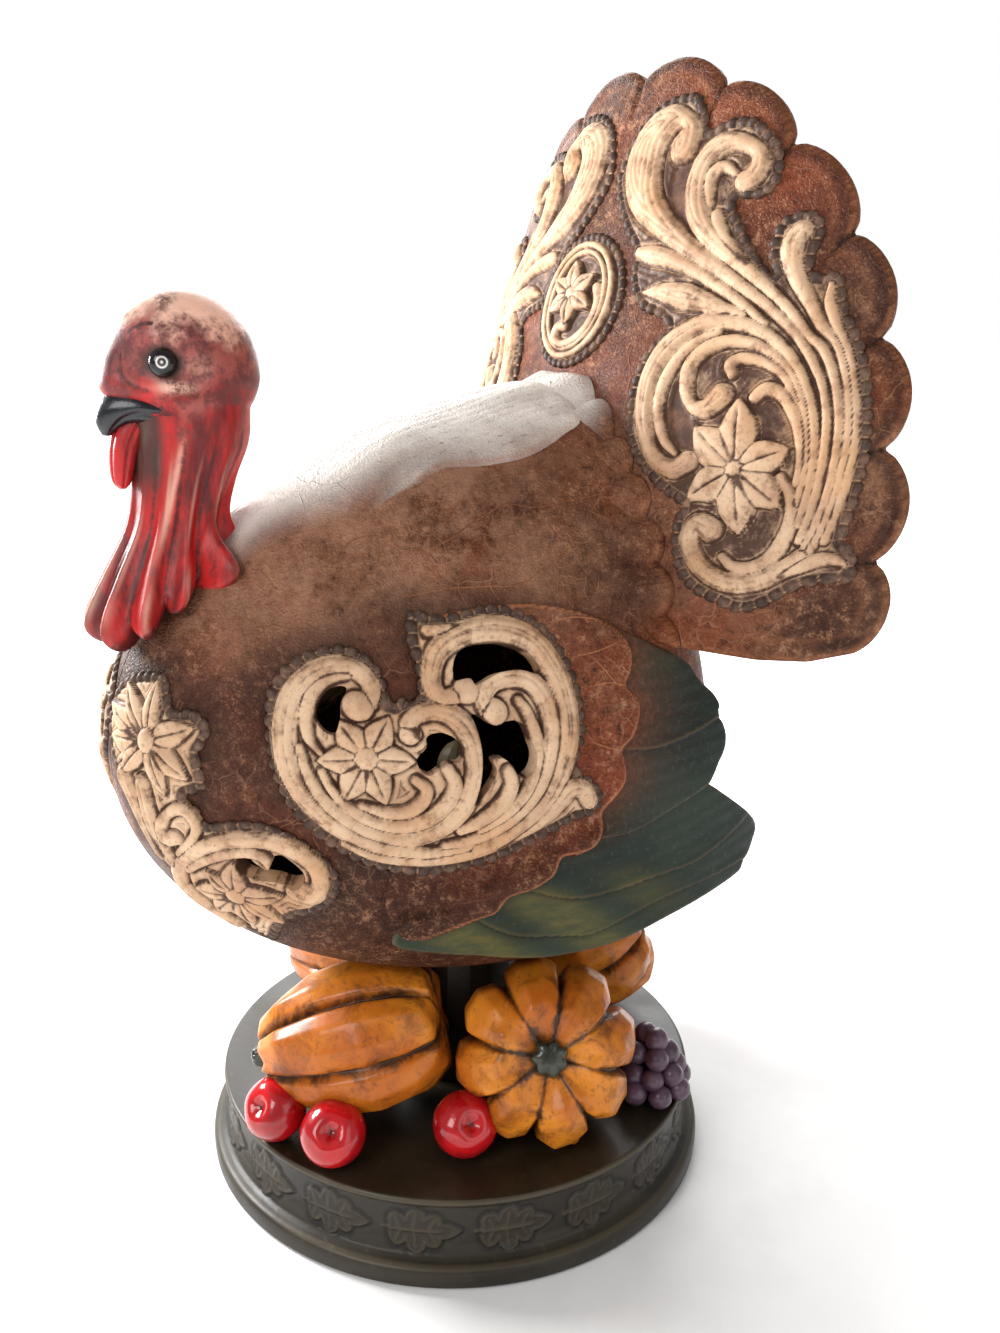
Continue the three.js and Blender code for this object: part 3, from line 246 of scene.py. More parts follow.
def build(name, shape, material, nodes, mirror=False):
    points = shape.points * (-1 if mirror else 1, 1, 1) * MM
    arrays = [array[:, ::-1] if mirror else array for array, _ in shape.faces]
    sizes = np.concatenate([np.full(len(a), a.shape[1]) for a in arrays])
    mesh = bpy.data.meshes.new(name)
    mesh.vertices.add(len(points))
    mesh.vertices.foreach_set("co", points.ravel())
    mesh.loops.add(int(sizes.sum()))
    mesh.loops.foreach_set("vertex_index", np.concatenate([a.ravel() for a in arrays]).astype(np.int32))
    mesh.polygons.add(len(sizes))
    mesh.polygons.foreach_set("loop_start", np.concatenate([[0], np.cumsum(sizes)[:-1]]).astype(np.int32))
    soft = np.concatenate([np.full(len(array), kept) for array, kept in shape.faces])
    mesh.polygons.foreach_set("use_smooth", soft)
    for field, values in shape.fields.items():
        layer = mesh.attributes.new(field, "FLOAT", "POINT")
        layer.data.foreach_set("value", values.astype(np.float32))
    mesh.update(calc_edges=True)
    mesh.validate()
    mesh.materials.append(material)
    obj = bpy.data.objects.new(name, mesh)
    bpy.context.scene.collection.objects.link(obj)
    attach(obj, "figure")
    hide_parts(*nodes)
    return obj


def build_pair(name, shape, material):
    for side, mirror in (("left", False), ("right", True)):
        build(f"{name}_{side}_look", shape, material, [f"{name}_{side}"], mirror)


def trimmed(u, v, distance):
    """A grid cut along distance = 0: the corners nearest the cut are pulled onto it."""
    U, V = np.meshgrid(u, v, indexing="ij")
    D = distance(U, V)
    reach = np.full(D.shape, np.inf)
    to_u, to_v = np.zeros(D.shape), np.zeros(D.shape)
    n, m = D.shape
    for i, j in ((1, 0), (0, 1), (1, 1)):
        a, b = (slice(0, n - i), slice(0, m - j)), (slice(i, n), slice(j, m))
        crossed = (D[a] < 0) != (D[b] < 0)
        t = np.where(crossed, D[a] / np.where(crossed, D[a] - D[b], 1), 0)
        eu, ev = U[b] - U[a], V[b] - V[a]
        for end, share, sign in ((a, t, 1), (b, 1 - t, -1)):
            move = share * np.hypot(eu, ev)
            nearer = crossed & (share <= 0.5) & (move < reach[end])
            reach[end] = np.where(nearer, move, reach[end])
            to_u[end] = np.where(nearer, sign * share * eu, to_u[end])
            to_v[end] = np.where(nearer, sign * share * ev, to_v[end])
    on = np.isfinite(reach).ravel()
    out = (D.ravel() >= 0) & ~on
    index = np.arange(n * m).reshape(n, m)
    a, b = index[:-1, :-1].ravel(), index[1:, :-1].ravel()
    c, d = index[1:, 1:].ravel(), index[:-1, 1:].ravel()

    def kept(*corners):
        t = np.stack(corners, 1)
        return ~out[t].any(1) & (~on[t].all(1) | (D.ravel()[t].mean(1) < 0))

    low, high = kept(a, b, c), kept(a, c, d)
    quads = np.stack([a, b, c, d], 1)[low & high]
    tris = np.vstack([np.stack([a, b, c], 1)[low & ~high], np.stack([a, c, d], 1)[high & ~low]])
    used = np.unique(np.concatenate([quads.ravel(), tris.ravel()]))
    new = np.zeros(n * m, int)
    new[used] = np.arange(len(used))
    return (U + to_u).ravel()[used], (V + to_v).ravel()[used], new[quads], new[tris]


def rim_edges(quads, tris):
    edges = np.vstack([np.stack([f, np.roll(f, -1, 1)], -1).reshape(-1, 2) for f in (quads, tris)])
    size = edges.max() + 1
    return edges[~np.isin(edges[:, 0] * size + edges[:, 1], edges[:, 1] * size + edges[:, 0])]


def plate(shape, u, v, distance, surface, relief, back):
    """A closed plate on a surface. relief(U, V) gives the front's height and its fields."""
    U, V, quads, tris = trimmed(u, v, distance)
    P, N = surface(U, V)
    height, fields = relief(U, V)
    under = back(U, V) if callable(back) else np.full(len(U), float(back))
    middle = quads[len(quads) // 2]
    a, b, c = P[middle[:3]]
    if np.dot(np.cross(b - a, c - a), N[middle[0]]) < 0:
        quads, tris = quads[:, ::-1], tris[:, ::-1]
    edges, n = rim_edges(quads, tris), len(U)
    wall = np.stack([edges[:, 1], edges[:, 0], edges[:, 0] + n, edges[:, 1] + n], 1)
    points = np.vstack([P + N * height[:, None], P + N * under[:, None]])
    faces = [(quads, True), (tris, True)]
    faces += [(array[:, ::-1] + n, True) for array, _ in faces] + [(wall, False)]
    doubled = {name: np.concatenate([np.broadcast_to(f, n)] * 2) for name, f in fields.items()}
    return shape.add(points, faces, **doubled)


def volume(points, quads, tris):
    a, b, c = (points[np.concatenate([quads[:, 0], quads[:, 0], tris[:, 0]])],
               points[np.concatenate([quads[:, 1], quads[:, 2], tris[:, 1]])],
               points[np.concatenate([quads[:, 2], quads[:, 3], tris[:, 2]])])
    return np.einsum("ij,ij->i", a, np.cross(b, c)).sum()


def ring_quads(a, b):
    """Faces between rings of point numbers a and the next rings b."""
    return np.stack([a, np.roll(a, -1, 1), np.roll(b, -1, 1), b], -1).reshape(-1, 4)


def tube(shape, rings, soft=True, **fields):
    """A skin over closed rings of points, with both ends closed."""
    rings = np.asarray(rings, float)
    n, m, _ = rings.shape
    index = np.arange(n * m).reshape(n, m)
    quads = ring_quads(index[:-1], index[1:])
    ends = np.vstack([rings[0].mean(0), rings[-1].mean(0)])
    points = np.vstack([rings.reshape(-1, 3), ends])
    first, last = index[0], index[-1]
    tris = np.vstack([np.stack([np.roll(first, -1), first, np.full(m, n * m)], 1),
                      np.stack([last, np.roll(last, -1), np.full(m, n * m + 1)], 1)])
    if volume(points, quads, tris) < 0:
        quads, tris = quads[:, ::-1], tris[:, ::-1]
    spread = {}
    for name, f in fields.items():
        f = np.broadcast_to(f, (n, m))
        spread[name] = np.concatenate([f.ravel(), [f[0].mean(), f[-1].mean()]])
    return shape.add(points, [(quads, soft), (tris, False)], **spread)


def ridge(shape, points, normals, wide, high, **fields):
    """A thin raised line along points that lie on a surface."""
    points, normals = np.asarray(points, float), np.asarray(normals, float)
    forward = unit(np.gradient(points, axis=0))
    across = unit(np.cross(forward, normals))
    ends = np.minimum(np.arange(len(points)), np.arange(len(points))[::-1])
    thin = np.clip(0.25 + ends / 4, 0, 1)[:, None]
    across, out = across * wide * thin, normals * high * thin
    rings = [points + across * math.cos(turn) + out * math.sin(turn) for turn in full_turn(8)]
    return tube(shape, np.stack(rings, 1), **fields)


# The body's egg, leaning by LEAN, and the fan's curved sheet.

BODY_Y, BODY_Z, LEAN = 36.0, 195.9, math.radians(5)
HALF, FRONT, REAR, UP, DOWN = 90.0, 172.0, 50.0, 116.0, 112.0
WING_REAR, WING_DOWN = 122.0, 180.0  # the wing's own, fuller egg
TAPER = 0.18  # how much narrower the egg is at its top
LON, LAT = 110.0, 112.0  # mm of arc to a radian, round the egg and up it
STEP = 0.05  # mm between the places that give a slope
START_Z = 316.0  # a height over the egg's top to start from
COS, SIN = math.cos(LEAN), math.sin(LEAN)


def egg_own(y, z):
    """y and z along the egg's own axes."""
    dy, dz = y - BODY_Y, z - BODY_Z
    return dy * COS + dz * SIN, -dy * SIN + dz * COS


def egg_level(P, rear=REAR, down=DOWN):
    """1 on the egg, less inside it."""
    y, z = egg_own(P[:, 1], P[:, 2])
    x = P[:, 0] / (1 - TAPER * z / UP)
    return (x / HALF) ** 2 + (y / np.where(y < 0, FRONT, rear)) ** 2 + (z / np.where(z < 0, down, UP)) ** 2


def egg_normals(P, rear=REAR, down=DOWN):
    slope = [egg_level(P + s, rear, down) - egg_level(P - s, rear, down) for s in np.eye(3) * STEP]
    return unit(np.stack(slope, 1))


def egg_side(y, z, rear=REAR, down=DOWN):
    """Places on the left side of the egg that are seen at y and z from the side."""
    own_y, own_z = egg_own(y, z)
    long, tall = np.where(own_y < 0, FRONT, rear), np.where(own_z < 0, down, UP)
    left = np.clip(1 - (own_y / long) ** 2 - (own_z / tall) ** 2, 0.0004, 1)
    P = np.stack([HALF * np.sqrt(left) * (1 - TAPER * own_z / UP), y, z], 1)
    return P, egg_normals(P, rear, down)


def egg_polar(a, b):
    """Places on the egg by arc from the front and arc up, both about mm."""
    lon, lat = a / LON, b / LAT
    x, y, z = np.sin(lon) * np.cos(lat), -np.cos(lon) * np.cos(lat), np.sin(lat)
    y, z = y * np.where(y < 0, FRONT, REAR), z * np.where(z < 0, DOWN, UP)
    x = x * HALF * (1 - TAPER * z / UP)
    P = np.stack([x, y * COS - z * SIN + BODY_Y, y * SIN + z * COS + BODY_Z], 1)
    return P, egg_normals(P)


def egg_top(x, y):
    """Places on top of the egg, found in steps from above."""
    P = np.stack([x, y, np.full(len(x), START_Z)], 1)
    for _ in range(14):
        level = egg_level(P)
        above = egg_level(P + (0, 0, STEP))
        P[:, 2] -= np.clip((level - 1) * STEP / np.maximum(above - level, 1e-5), -20, 20)
    return P, egg_normals(P)


FAN_Y, FAN_Z, FAN_LEAN, FAN_BEND = 43.0, 307.9, math.tan(math.radians(16)), 216.0


def fan_front(x, z):
    """Places on the front of the fan."""
    bow = np.sqrt(FAN_BEND**2 - np.clip(x, -FAN_BEND + 1, FAN_BEND - 1) ** 2)
    P = np.stack([x, FAN_Y + (z - FAN_Z) * FAN_LEAN + FAN_BEND - bow, z], 1)
    N = np.stack([x / bow, -np.ones(len(x)), np.full(len(x), FAN_LEAN)], 1)
    return P, unit(N)


# Materials.

def srgb(r, g, b):
    parts = [c / 255 for c in (r, g, b)]
    return (*[c / 12.92 if c <= 0.04045 else ((c + 0.055) / 1.055) ** 2.4 for c in parts], 1.0)


class Look:
    """A material put together from nodes. self.colour is the paint so far."""

    def __init__(self, name, rough=0.5, **settings):
        self.material = bpy.data.materials.new(name)
        self.material.use_nodes = True
        self.nodes, self.links = self.material.node_tree.nodes, self.material.node_tree.links
        self.shader = self.nodes["Principled BSDF"]
        self.shader.inputs["Roughness"].default_value = rough
        for key, value in settings.items():
            self.shader.inputs[key.replace("_", " ")].default_value = value
        self.place = self.nodes.new("ShaderNodeTexCoord").outputs["Object"]

    def put(self, socket, value):
        if isinstance(value, bpy.types.NodeSocket):
            self.links.new(value, socket)
        else:
            socket.default_value = value

    def filled(self, node, inputs):
        for key, value in inputs.items():
            self.put(node.inputs[key], value)
        return node

    def noise(self, scale, detail=4, rough=0.55, at=None, twist=0.0, colour=False):
        node = self.filled(self.nodes.new("ShaderNodeTexNoise"), {
            "Vector": at or self.place, "Scale": scale, "Detail": detail, "Roughness": rough,
            "Distortion": twist})
        return node.outputs["Color" if colour else "Fac"]

    def cells(self, scale, at):
        """Distance to the nearest edge between cells."""
        node = self.nodes.new("ShaderNodeTexVoronoi")
        node.feature = "DISTANCE_TO_EDGE"
        return self.filled(node, {"Vector": at, "Scale": scale}).outputs["Distance"]

    def stretched(self, x, y, z):
        node = self.nodes.new("ShaderNodeMapping")
        return self.filled(node, {"Vector": self.place, "Scale": (x, y, z)}).outputs["Vector"]

    def bent(self, amount, scale):
        """Coordinates pushed about by noise."""
        node = self.nodes.new("ShaderNodeVectorMath")
        node.operation = "MULTIPLY_ADD"
        push = self.noise(scale, 2, colour=True)
        return self.filled(node, {0: push, 1: (amount,) * 3, 2: self.place}).outputs[0]

    def ramp(self, value, low, high, start=0.0, end=1.0):
        """A smooth step from start to end while value goes from low to high."""
        node = self.nodes.new("ShaderNodeMapRange")
        node.interpolation_type = "SMOOTHSTEP"
        return self.filled(node, {"Value": value, "From Min": low, "From Max": high, "To Min": start,
                                  "To Max": end}).outputs["Result"]

    def sums(self, operation, a, b):
        node = self.nodes.new("ShaderNodeMath")
        node.operation = operation
        return self.filled(node, {0: a, 1: b}).outputs[0]

    def times(self, a, b):
        return self.sums("MULTIPLY", a, b)

    def mix(self, share, a, b):
        node = self.nodes.new("ShaderNodeMix")
        node.data_type = "RGBA"
        return self.filled(node, {0: share, 6: a, 7: b}).outputs[2]

    def shades(self, share, first, second):
        """A colour between two sRGB colours."""
        return self.mix(share, srgb(*first), srgb(*second))

    def over(self, share, top):
        """Lays an sRGB colour, or one from other nodes, over the paint."""
        given = isinstance(top, bpy.types.NodeSocket)
        self.colour = self.mix(share, self.colour, top if given else srgb(*top))

    def field(self, name):
        """A value that the mesh's points carry."""
        node = self.nodes.new("ShaderNodeAttribute")
        node.attribute_name = name
        return node.outputs["Fac"]

    def height(self):
        return self.filled(self.nodes.new("ShaderNodeSeparateXYZ"), {0: self.place}).outputs[2]

    def bump(self, value, distance, strength):
        """Adds fine relief to what is there."""
        node = self.filled(self.nodes.new("ShaderNodeBump"), {
            "Strength": strength, "Distance": distance, "Height": value})
        before = self.shader.inputs["Normal"]
        if before.is_linked:
            self.put(node.inputs["Normal"], before.links[0].from_socket)
        self.put(before, node.outputs["Normal"])

    def paint(self, rough=None):
        self.put(self.shader.inputs["Base Color"], self.colour)
        if rough is not None:
            self.put(self.shader.inputs["Roughness"], rough)
        return self.material


def leather():
    k = Look("tooled_leather", 0.5, Specular_IOR_Level=0.12)
    bent = k.bent(0.012, 60)
    fine = k.noise(620, 3, 0.7)
    grain = k.ramp(k.cells(640, k.bent(0.002, 300)), 0.03, 0.22)
    k.colour = k.shades(k.ramp(k.noise(12, 4, 0.6), 0.36, 0.64), (58, 34, 24), (108, 52, 30))
    k.over(k.ramp(k.noise(34, 5, 0.65), 0.44, 0.7, 0, 0.7), (88, 58, 42))
    k.over(k.ramp(k.noise(7, 2), 0.52, 0.68, 0, 0.5), (128, 48, 28))
    upper = k.times(k.ramp(k.height(), 0.205, 0.265), k.ramp(k.height(), 0.31, 0.295))
    k.over(k.times(upper, k.ramp(k.noise(26, 5, 0.7), 0.4, 0.62, 0, 0.4)), (138, 100, 78))
    # Painted shade: the leather is darker towards the bottom, below 0.19 m up.
    k.over(k.ramp(k.height(), 0.19, 0.13, 0, 0.75), (46, 22, 12))
    patches = k.times(k.ramp(fine, 0.36, 0.66, 0.0, 0.6), k.ramp(k.noise(42, 5, 0.65), 0.38, 0.64))
    k.over(k.times(grain, patches), (140, 96, 68))
    worn = k.noise(230, 5, 0.85)
    flecks = k.times(k.ramp(worn, 0.51, 0.66, 0, 0.6), k.ramp(k.noise(30, 4), 0.4, 0.6, 0.3, 1))
    k.over(flecks, (174, 128, 98))
    k.over(k.ramp(worn, 0.48, 0.35, 0, 0.75), (42, 23, 16))
    mist = k.times(k.field("mist"), k.ramp(k.noise(40, 6, 0.8), 0.38, 0.62, 0.0, 0.7))
    k.over(mist, (158, 116, 92))
    # dark: painted shade on the body shell round its raised panels, and on the fan's rolled rim.
    k.over(k.times(k.field("dark"), 0.6), (40, 23, 17))
    veins = k.times(k.ramp(k.cells(44, bent), 0.018, 0.0), k.ramp(k.noise(24, 2), 0.46, 0.64))
    hairs = k.times(k.ramp(k.cells(150, bent), 0.06, 0.0), k.ramp(k.noise(46, 3), 0.5, 0.68))
    k.over(k.times(veins, 0.3), (180, 130, 100))
    k.over(k.times(hairs, 0.32), (172, 126, 98))
    # lift: a painted highlight, the pale sheen over the back and the collar.
    painted_sheen = k.times(k.field("lift"), k.ramp(k.noise(60, 5, 0.7), 0.25, 0.6, 0.72, 1.0))
    k.over(painted_sheen, (248, 242, 234))
    # line: tan tooled lines, and on the fan a painted highlight along its rim.
    k.over(k.field("line"), (172, 112, 76))
    broken = k.ramp(k.sums("ADD", k.field("ink"), k.ramp(fine, 0.3, 0.7, -0.25, 0.25)), 0.2, 0.8)
    k.over(broken, (26, 17, 13))
    k.bump(grain, 0.0004, 0.5)
    k.bump(fine, 0.0003, 0.5)
    k.bump(hairs, 0.0003, 0.6)
    k.bump(worn, 0.0004, 0.4)
    k.bump(veins, 0.0005, 0.7)
    return k.paint(k.ramp(k.noise(90, 4), 0.3, 0.7, 0.38, 0.58))


def cream():
    k = Look("antiqued_cream", 0.55, Specular_IOR_Level=0.2)
    fine = k.noise(700, 3, 0.75)
    streak = k.noise(160, 5, 0.7)
    k.colour = k.shades(k.ramp(k.noise(50, 4), 0.35, 0.65), (206, 174, 143), (178, 142, 112))
    k.over(k.ramp(k.noise(26, 4), 0.46, 0.66, 0, 0.55), (192, 144, 100))
    k.over(k.ramp(streak, 0.46, 0.7, 0, 0.7), (158, 118, 88))
    k.over(k.ramp(fine, 0.56, 0.72, 0, 0.55), (112, 82, 60))
    wash = k.sums("ADD", k.field("ink"), k.ramp(streak, 0.3, 0.7, -0.26, 0.26))
    k.over(k.ramp(wash, 0.12, 0.85), (74, 50, 38))
    brown = k.shades(k.ramp(streak, 0.4, 0.7), (70, 46, 36), (112, 78, 58))
    k.over(k.field("leaf"), brown)
    dark = k.shades(k.ramp(streak, 0.4, 0.7), (60, 44, 37), (112, 86, 70))
    dark = k.mix(k.field("line"), dark, srgb(184, 144, 112))
    k.over(k.field("dark"), dark)
    k.bump(streak, 0.0004, 0.5)
    k.bump(fine, 0.0002, 0.4)
    return k.paint(k.ramp(streak, 0.3, 0.7, 0.45, 0.62))


def feather():
    k = Look("green_feathers", 0.45, Specular_IOR_Level=0.14)
    barbs = k.noise(60, 4, 0.6, k.stretched(6, 1.2, 6))
    fine = k.noise(500, 3, 0.7)
    k.colour = k.shades(k.ramp(k.noise(22, 4), 0.36, 0.64), (19, 29, 25), (38, 48, 39))
    k.over(k.ramp(barbs, 0.4, 0.7, 0, 0.5), (36, 51, 44))
    k.over(k.field("olive"), k.shades(k.ramp(barbs, 0.3, 0.7), (90, 83, 42), (64, 67, 42)))
    k.over(k.field("warm"), k.shades(k.ramp(fine, 0.35, 0.65), (84, 48, 34), (112, 62, 40)))
    k.over(k.ramp(fine, 0.56, 0.72, 0, 0.22), (92, 92, 76))
    k.over(k.field("ink"), (12, 15, 15))
    k.over(k.times(k.field("line"), 0.5), (142, 108, 74))
    k.bump(barbs, 0.0005, 0.4)
    k.bump(fine, 0.0002, 0.4)
    return k.paint(k.ramp(barbs, 0.3, 0.7, 0.36, 0.54))


def skin():
    k = Look("painted_skin", 0.42, Coat_Weight=0.06, Coat_Roughness=0.25, Specular_IOR_Level=0.3)
    fine = k.noise(420, 4, 0.75)
    mid = k.noise(110, 5, 0.7)
    broad = k.noise(70, 4)
    streak = k.noise(90, 5, 0.7, k.stretched(1, 1, 0.22))
    red = k.shades(k.ramp(streak, 0.38, 0.66), (178, 28, 26), (92, 15, 16))
    rose = k.shades(k.ramp(mid, 0.38, 0.62), (152, 76, 70), (100, 46, 44))
    peach = k.shades(k.ramp(broad, 0.35, 0.65), (252, 216, 194), (238, 180, 156))
    edge = k.sums("ADD", k.height(), k.ramp(broad, 0.3, 0.7, -0.009, 0.009))
    k.colour = k.mix(k.ramp(edge, 0.301, 0.318), red, rose)
    k.over(k.ramp(edge, 0.326, 0.341), peach)
    # lift: painted highlights in pale pink.
    k.over(k.field("lift"), (244, 196, 172))
    blots = k.times(k.ramp(mid, 0.42, 0.58), k.ramp(fine, 0.38, 0.56))
    blots = k.times(blots, k.times(k.ramp(edge, 0.347, 0.33), k.ramp(edge, 0.292, 0.314, 0.15, 1)))
    k.over(k.times(blots, 0.9), (94, 46, 44))
    # ink: dark wash in the head's fold and brow, painted shade in the neck's valleys and under its lobes,
    # and a painted shadow under the beak.
    wash = k.sums("ADD", k.field("ink"), k.ramp(fine, 0.3, 0.7, -0.25, 0.25))
    fold_wash_and_shade = k.shades(k.ramp(edge, 0.300, 0.314), (76, 22, 22), (66, 40, 36))
    k.over(k.ramp(wash, 0.15, 0.95), fold_wash_and_shade)
    # dark: the eye's socket, and painted shade in the throat between the snood and the neck.
    k.over(k.field("dark"), k.shades(k.ramp(streak, 0.4, 0.65), (46, 36, 31), (88, 74, 64)))
    k.bump(mid, 0.0006, 0.5)
    k.bump(fine, 0.0003, 0.4)
    return k.paint(k.ramp(mid, 0.3, 0.7, 0.38, 0.56))


def orange():
    k = Look("pumpkin_paint", 0.34, Coat_Weight=0.14, Coat_Roughness=0.15, Specular_IOR_Level=0.25)
    fine = k.noise(380, 4, 0.75)
    mid = k.noise(75, 5, 0.7, twist=0.6)
    k.colour = k.shades(k.ramp(k.noise(30, 3), 0.35, 0.65), (210, 128, 36), (180, 94, 22))
    k.over(k.ramp(mid, 0.44, 0.7, 0, 0.8), (126, 64, 20))
    k.over(k.times(k.ramp(fine, 0.54, 0.68), 0.5), (90, 52, 26))
    wash = k.sums("ADD", k.field("ink"), k.ramp(mid, 0.3, 0.7, -0.3, 0.3))
    k.over(k.ramp(wash, 0.25, 1.0), (60, 36, 20))
    k.bump(mid, 0.0006, 0.35)
    return k.paint(k.ramp(fine, 0.3, 0.7, 0.26, 0.44))


def spotted(name, base, second, spots, scale, rough, coat):
    """Plain painted parts: two shades in patches and fine dark specks."""
    k = Look(name, rough, Coat_Weight=coat, Coat_Roughness=0.12, Specular_IOR_Level=0.35)
    fine = k.noise(scale * 8, 3, 0.7)
    mid = k.noise(scale, 4, 0.6)
    k.colour = k.shades(k.ramp(mid, 0.35, 0.65), base, second)
    k.over(k.ramp(fine, 0.6, 0.75, 0, 0.45), spots)
    k.over(k.field("ink"), [c * 0.25 for c in second])
    k.over(k.field("line"), [min(255, c * 1.7 + 20) for c in second])
    k.bump(fine, 0.0002, 0.35)
    k.bump(mid, 0.0004, 0.25)
    return k.paint(k.ramp(mid, 0.3, 0.7, rough * 0.8, rough * 1.2))


def eye_paint():
    k = Look("eye_gloss", 0.18, Coat_Weight=0.25, Coat_Roughness=0.05, Specular_IOR_Level=0.3)
    k.colour = k.shades(k.ramp(k.noise(500, 3), 0.4, 0.7), (7, 7, 8), (24, 19, 18))
    k.over(k.field("ring"), (236, 232, 226))
    k.bump(k.noise(300, 2), 0.0001, 0.2)
    return k.paint()


def metal(name, base, second, rough):
    k = Look(name, rough, Metallic=1.0)
    brushed = k.noise(300, 3, 0.6, k.stretched(1, 12, 1))
    k.bump(brushed, 0.0001, 0.3)
    k.colour = k.shades(k.ramp(brushed, 0.3, 0.7), base, second)
    return k.paint(k.ramp(brushed, 0.3, 0.7, rough, rough + 0.15))


LEATHER, CREAM, FEATHER, SKIN, ORANGE, EYE = leather(), cream(), feather(), skin(), orange(), eye_paint()
BEAK = spotted("beak_lacquer", (13, 15, 21), (21, 23, 29), (50, 48, 48), 120, 0.26, 0.3)
STEM = spotted("stem_paint", (34, 38, 27), (50, 52, 36), (16, 18, 13), 160, 0.3, 0.4)
APPLE = spotted("apple_gloss", (190, 20, 26), (146, 12, 20), (84, 10, 14), 60, 0.18, 0.45)
GRAPE = spotted("grape_paint", (70, 48, 66), (96, 72, 88), (34, 22, 34), 130, 0.35, 0.3)
PLINTH = spotted("plinth_bronze", (33, 28, 19), (46, 39, 27), (82, 70, 52), 34, 0.42, 0.04)
PLASTIC = spotted("black_plastic", (26, 26, 27), (34, 34, 35), (48, 48, 48), 300, 0.5, 0.0)
CELL = spotted("cell_wrap", (58, 92, 66), (46, 78, 56), (30, 48, 36), 90, 0.35, 0.3)
LEAD = spotted("lead_cover", (30, 28, 28), (44, 40, 40), (60, 56, 56), 300, 0.5, 0.0)
LAMP = spotted("lamp_lens", (250, 232, 190), (242, 216, 164), (214, 186, 140), 200, 0.2, 0.4)
STEEL = metal("plated_steel", (190, 190, 188), (150, 150, 150), 0.28)


# Panels with their ornament.

class Panel:
    """Ornament inside an outline that has a stamped border of beads."""
    LIP, LIP_BACK, DEEP_BACK = 2.0, 0.08, -4.6

    def __init__(self, ring, forms, wide, high, ground, bead, pitch=4.6, inner=None, raised=1.0,
                 hollow=0.0, holes=(), leaves=()):
        """forms(U, V) gives the ornament, wide and pitch the border, the rest heights and washes."""
        self.ring, self.forms, self.wide, self.pitch = ring, forms, wide, pitch
        self.high, self.ground, self.bead, self.raised = high, ground, bead, raised
        self.hollow, self.holes, self.leaves = hollow, holes, leaves
        self.inner = inner or (0.3 - wide, -0.3 - wide)

    def border(self, U, V):
        d, place, total = outline(U, V, self.ring)
        return d, *beads(d, place, total, self.pitch, self.wide)

    def cut(self, U, V):
        d, _, notch, _ = self.border(U, V)
        d = d + notch
        for hole in self.holes:
            d = np.maximum(d, -signed(U, V, hole))
        return d

    def back(self, U, V):
        """A thin lip that lies on the body, and deeper in the body's opening."""
        return np.where(signed(U, V, self.ring) > -self.LIP, self.LIP_BACK, self.DEEP_BACK)

    def relief(self, U, V):
        d, bead, _, gap = self.border(U, V)
        art, ink, ground = compose(self.forms(U, V), U.shape, self.hollow)
        inner, bare = smooth(*self.inner, d), art <= 0
        dark = (1 - inner) * bare
        fields = dict(ink=ink * (1 - dark), dark=dark, line=dark * smooth(0.86, 1.0, gap) * 0.8)
        if self.leaves:
            shades = [smooth(0.3, -0.6, signed(U, V, leaf)) for leaf in self.leaves]
            fields["leaf"] = np.max(shades, 0) * bare
            ground = ground * (1 - fields["leaf"])
        low = (self.ground + self.raised * ground) * inner + (self.high + self.bead * bead) * (1 - inner)
        return np.where(bare, low, self.high + art), fields


# The pierced side panel: y and z as seen from the side.

SIDE_OUTLINE = curve([
    (-97.3, 213.8), (-95.8, 220.2), (-91.1, 227.3), (-84.6, 232), (-77.7, 234.2), (-70.9, 234.5),
    (-64.8, 230.4), (-61.9, 224.8), (-61, 217.6), (-57.3, 218.7), (-53.9, 217.3), (-52.4, 222.9),
    (-52.7, 228.4), (-53.6, 235.5), (-51.2, 244.4), (-41.8, 242.9), (-32.4, 244.3), (-22.7, 245.3),
    (-12.8, 241.9), (-5.2, 234.5), (-0.1, 223.4), (1.9, 212.2), (1.7, 201.9), (-1.4, 191.6), (4.9, 185.6),
    (8.2, 179.4), (4.2, 173.4), (-2.4, 172.2), (-8.3, 169.8), (-19.2, 165), (-29.6, 161), (-39.1, 159.1),
    (-51.5, 157.3), (-63.1, 159.7), (-73.4, 164.2), (-83.4, 171.2), (-91.4, 180.4), (-96.3, 191.7),
    (-98, 202.5)], 4, closed=True)
SIDE_HOLES = [curve(points, 4, closed=True) for points in (
    [(-83.1, 215.7), (-79.9, 220.4), (-76.3, 222.3), (-73.4, 221.5), (-75.8, 217.2), (-76.5, 212.4),
     (-78.6, 207.6), (-81.4, 208.5), (-83.4, 211.7)],
    [(-41.1, 224.7), (-39.4, 230.2), (-33.8, 233.3), (-25.2, 233.6), (-16.9, 230.5), (-13.2, 226.1),
     (-13.2, 222.8), (-19.7, 224.6), (-26.8, 224.2), (-32.3, 221.8), (-35, 221.1), (-36.3, 223.2),
     (-40.6, 222.7)],
    [(-55.1, 199.3), (-52, 202.5), (-51.7, 205.8), (-47.5, 207), (-42.8, 204.8), (-40.5, 200.9),
     (-41.7, 197.2), (-45.9, 196.9), (-49.3, 194.7), (-51.8, 193.4), (-54.5, 195.5)],
    [(-24.4, 209.2), (-20.2, 207.6), (-18.4, 202.3), (-17, 197), (-18.6, 191.9), (-22.3, 190.1),
     (-24.7, 194.3), (-28.1, 197.3), (-31.2, 196.7), (-30.1, 193.1), (-32.5, 188.1), (-36, 184),
     (-38.2, 182.8), (-36.2, 190.2), (-35.2, 197.9), (-35.6, 205.5), (-37, 211.9), (-33.8, 210.8),
     (-29.8, 208)])]
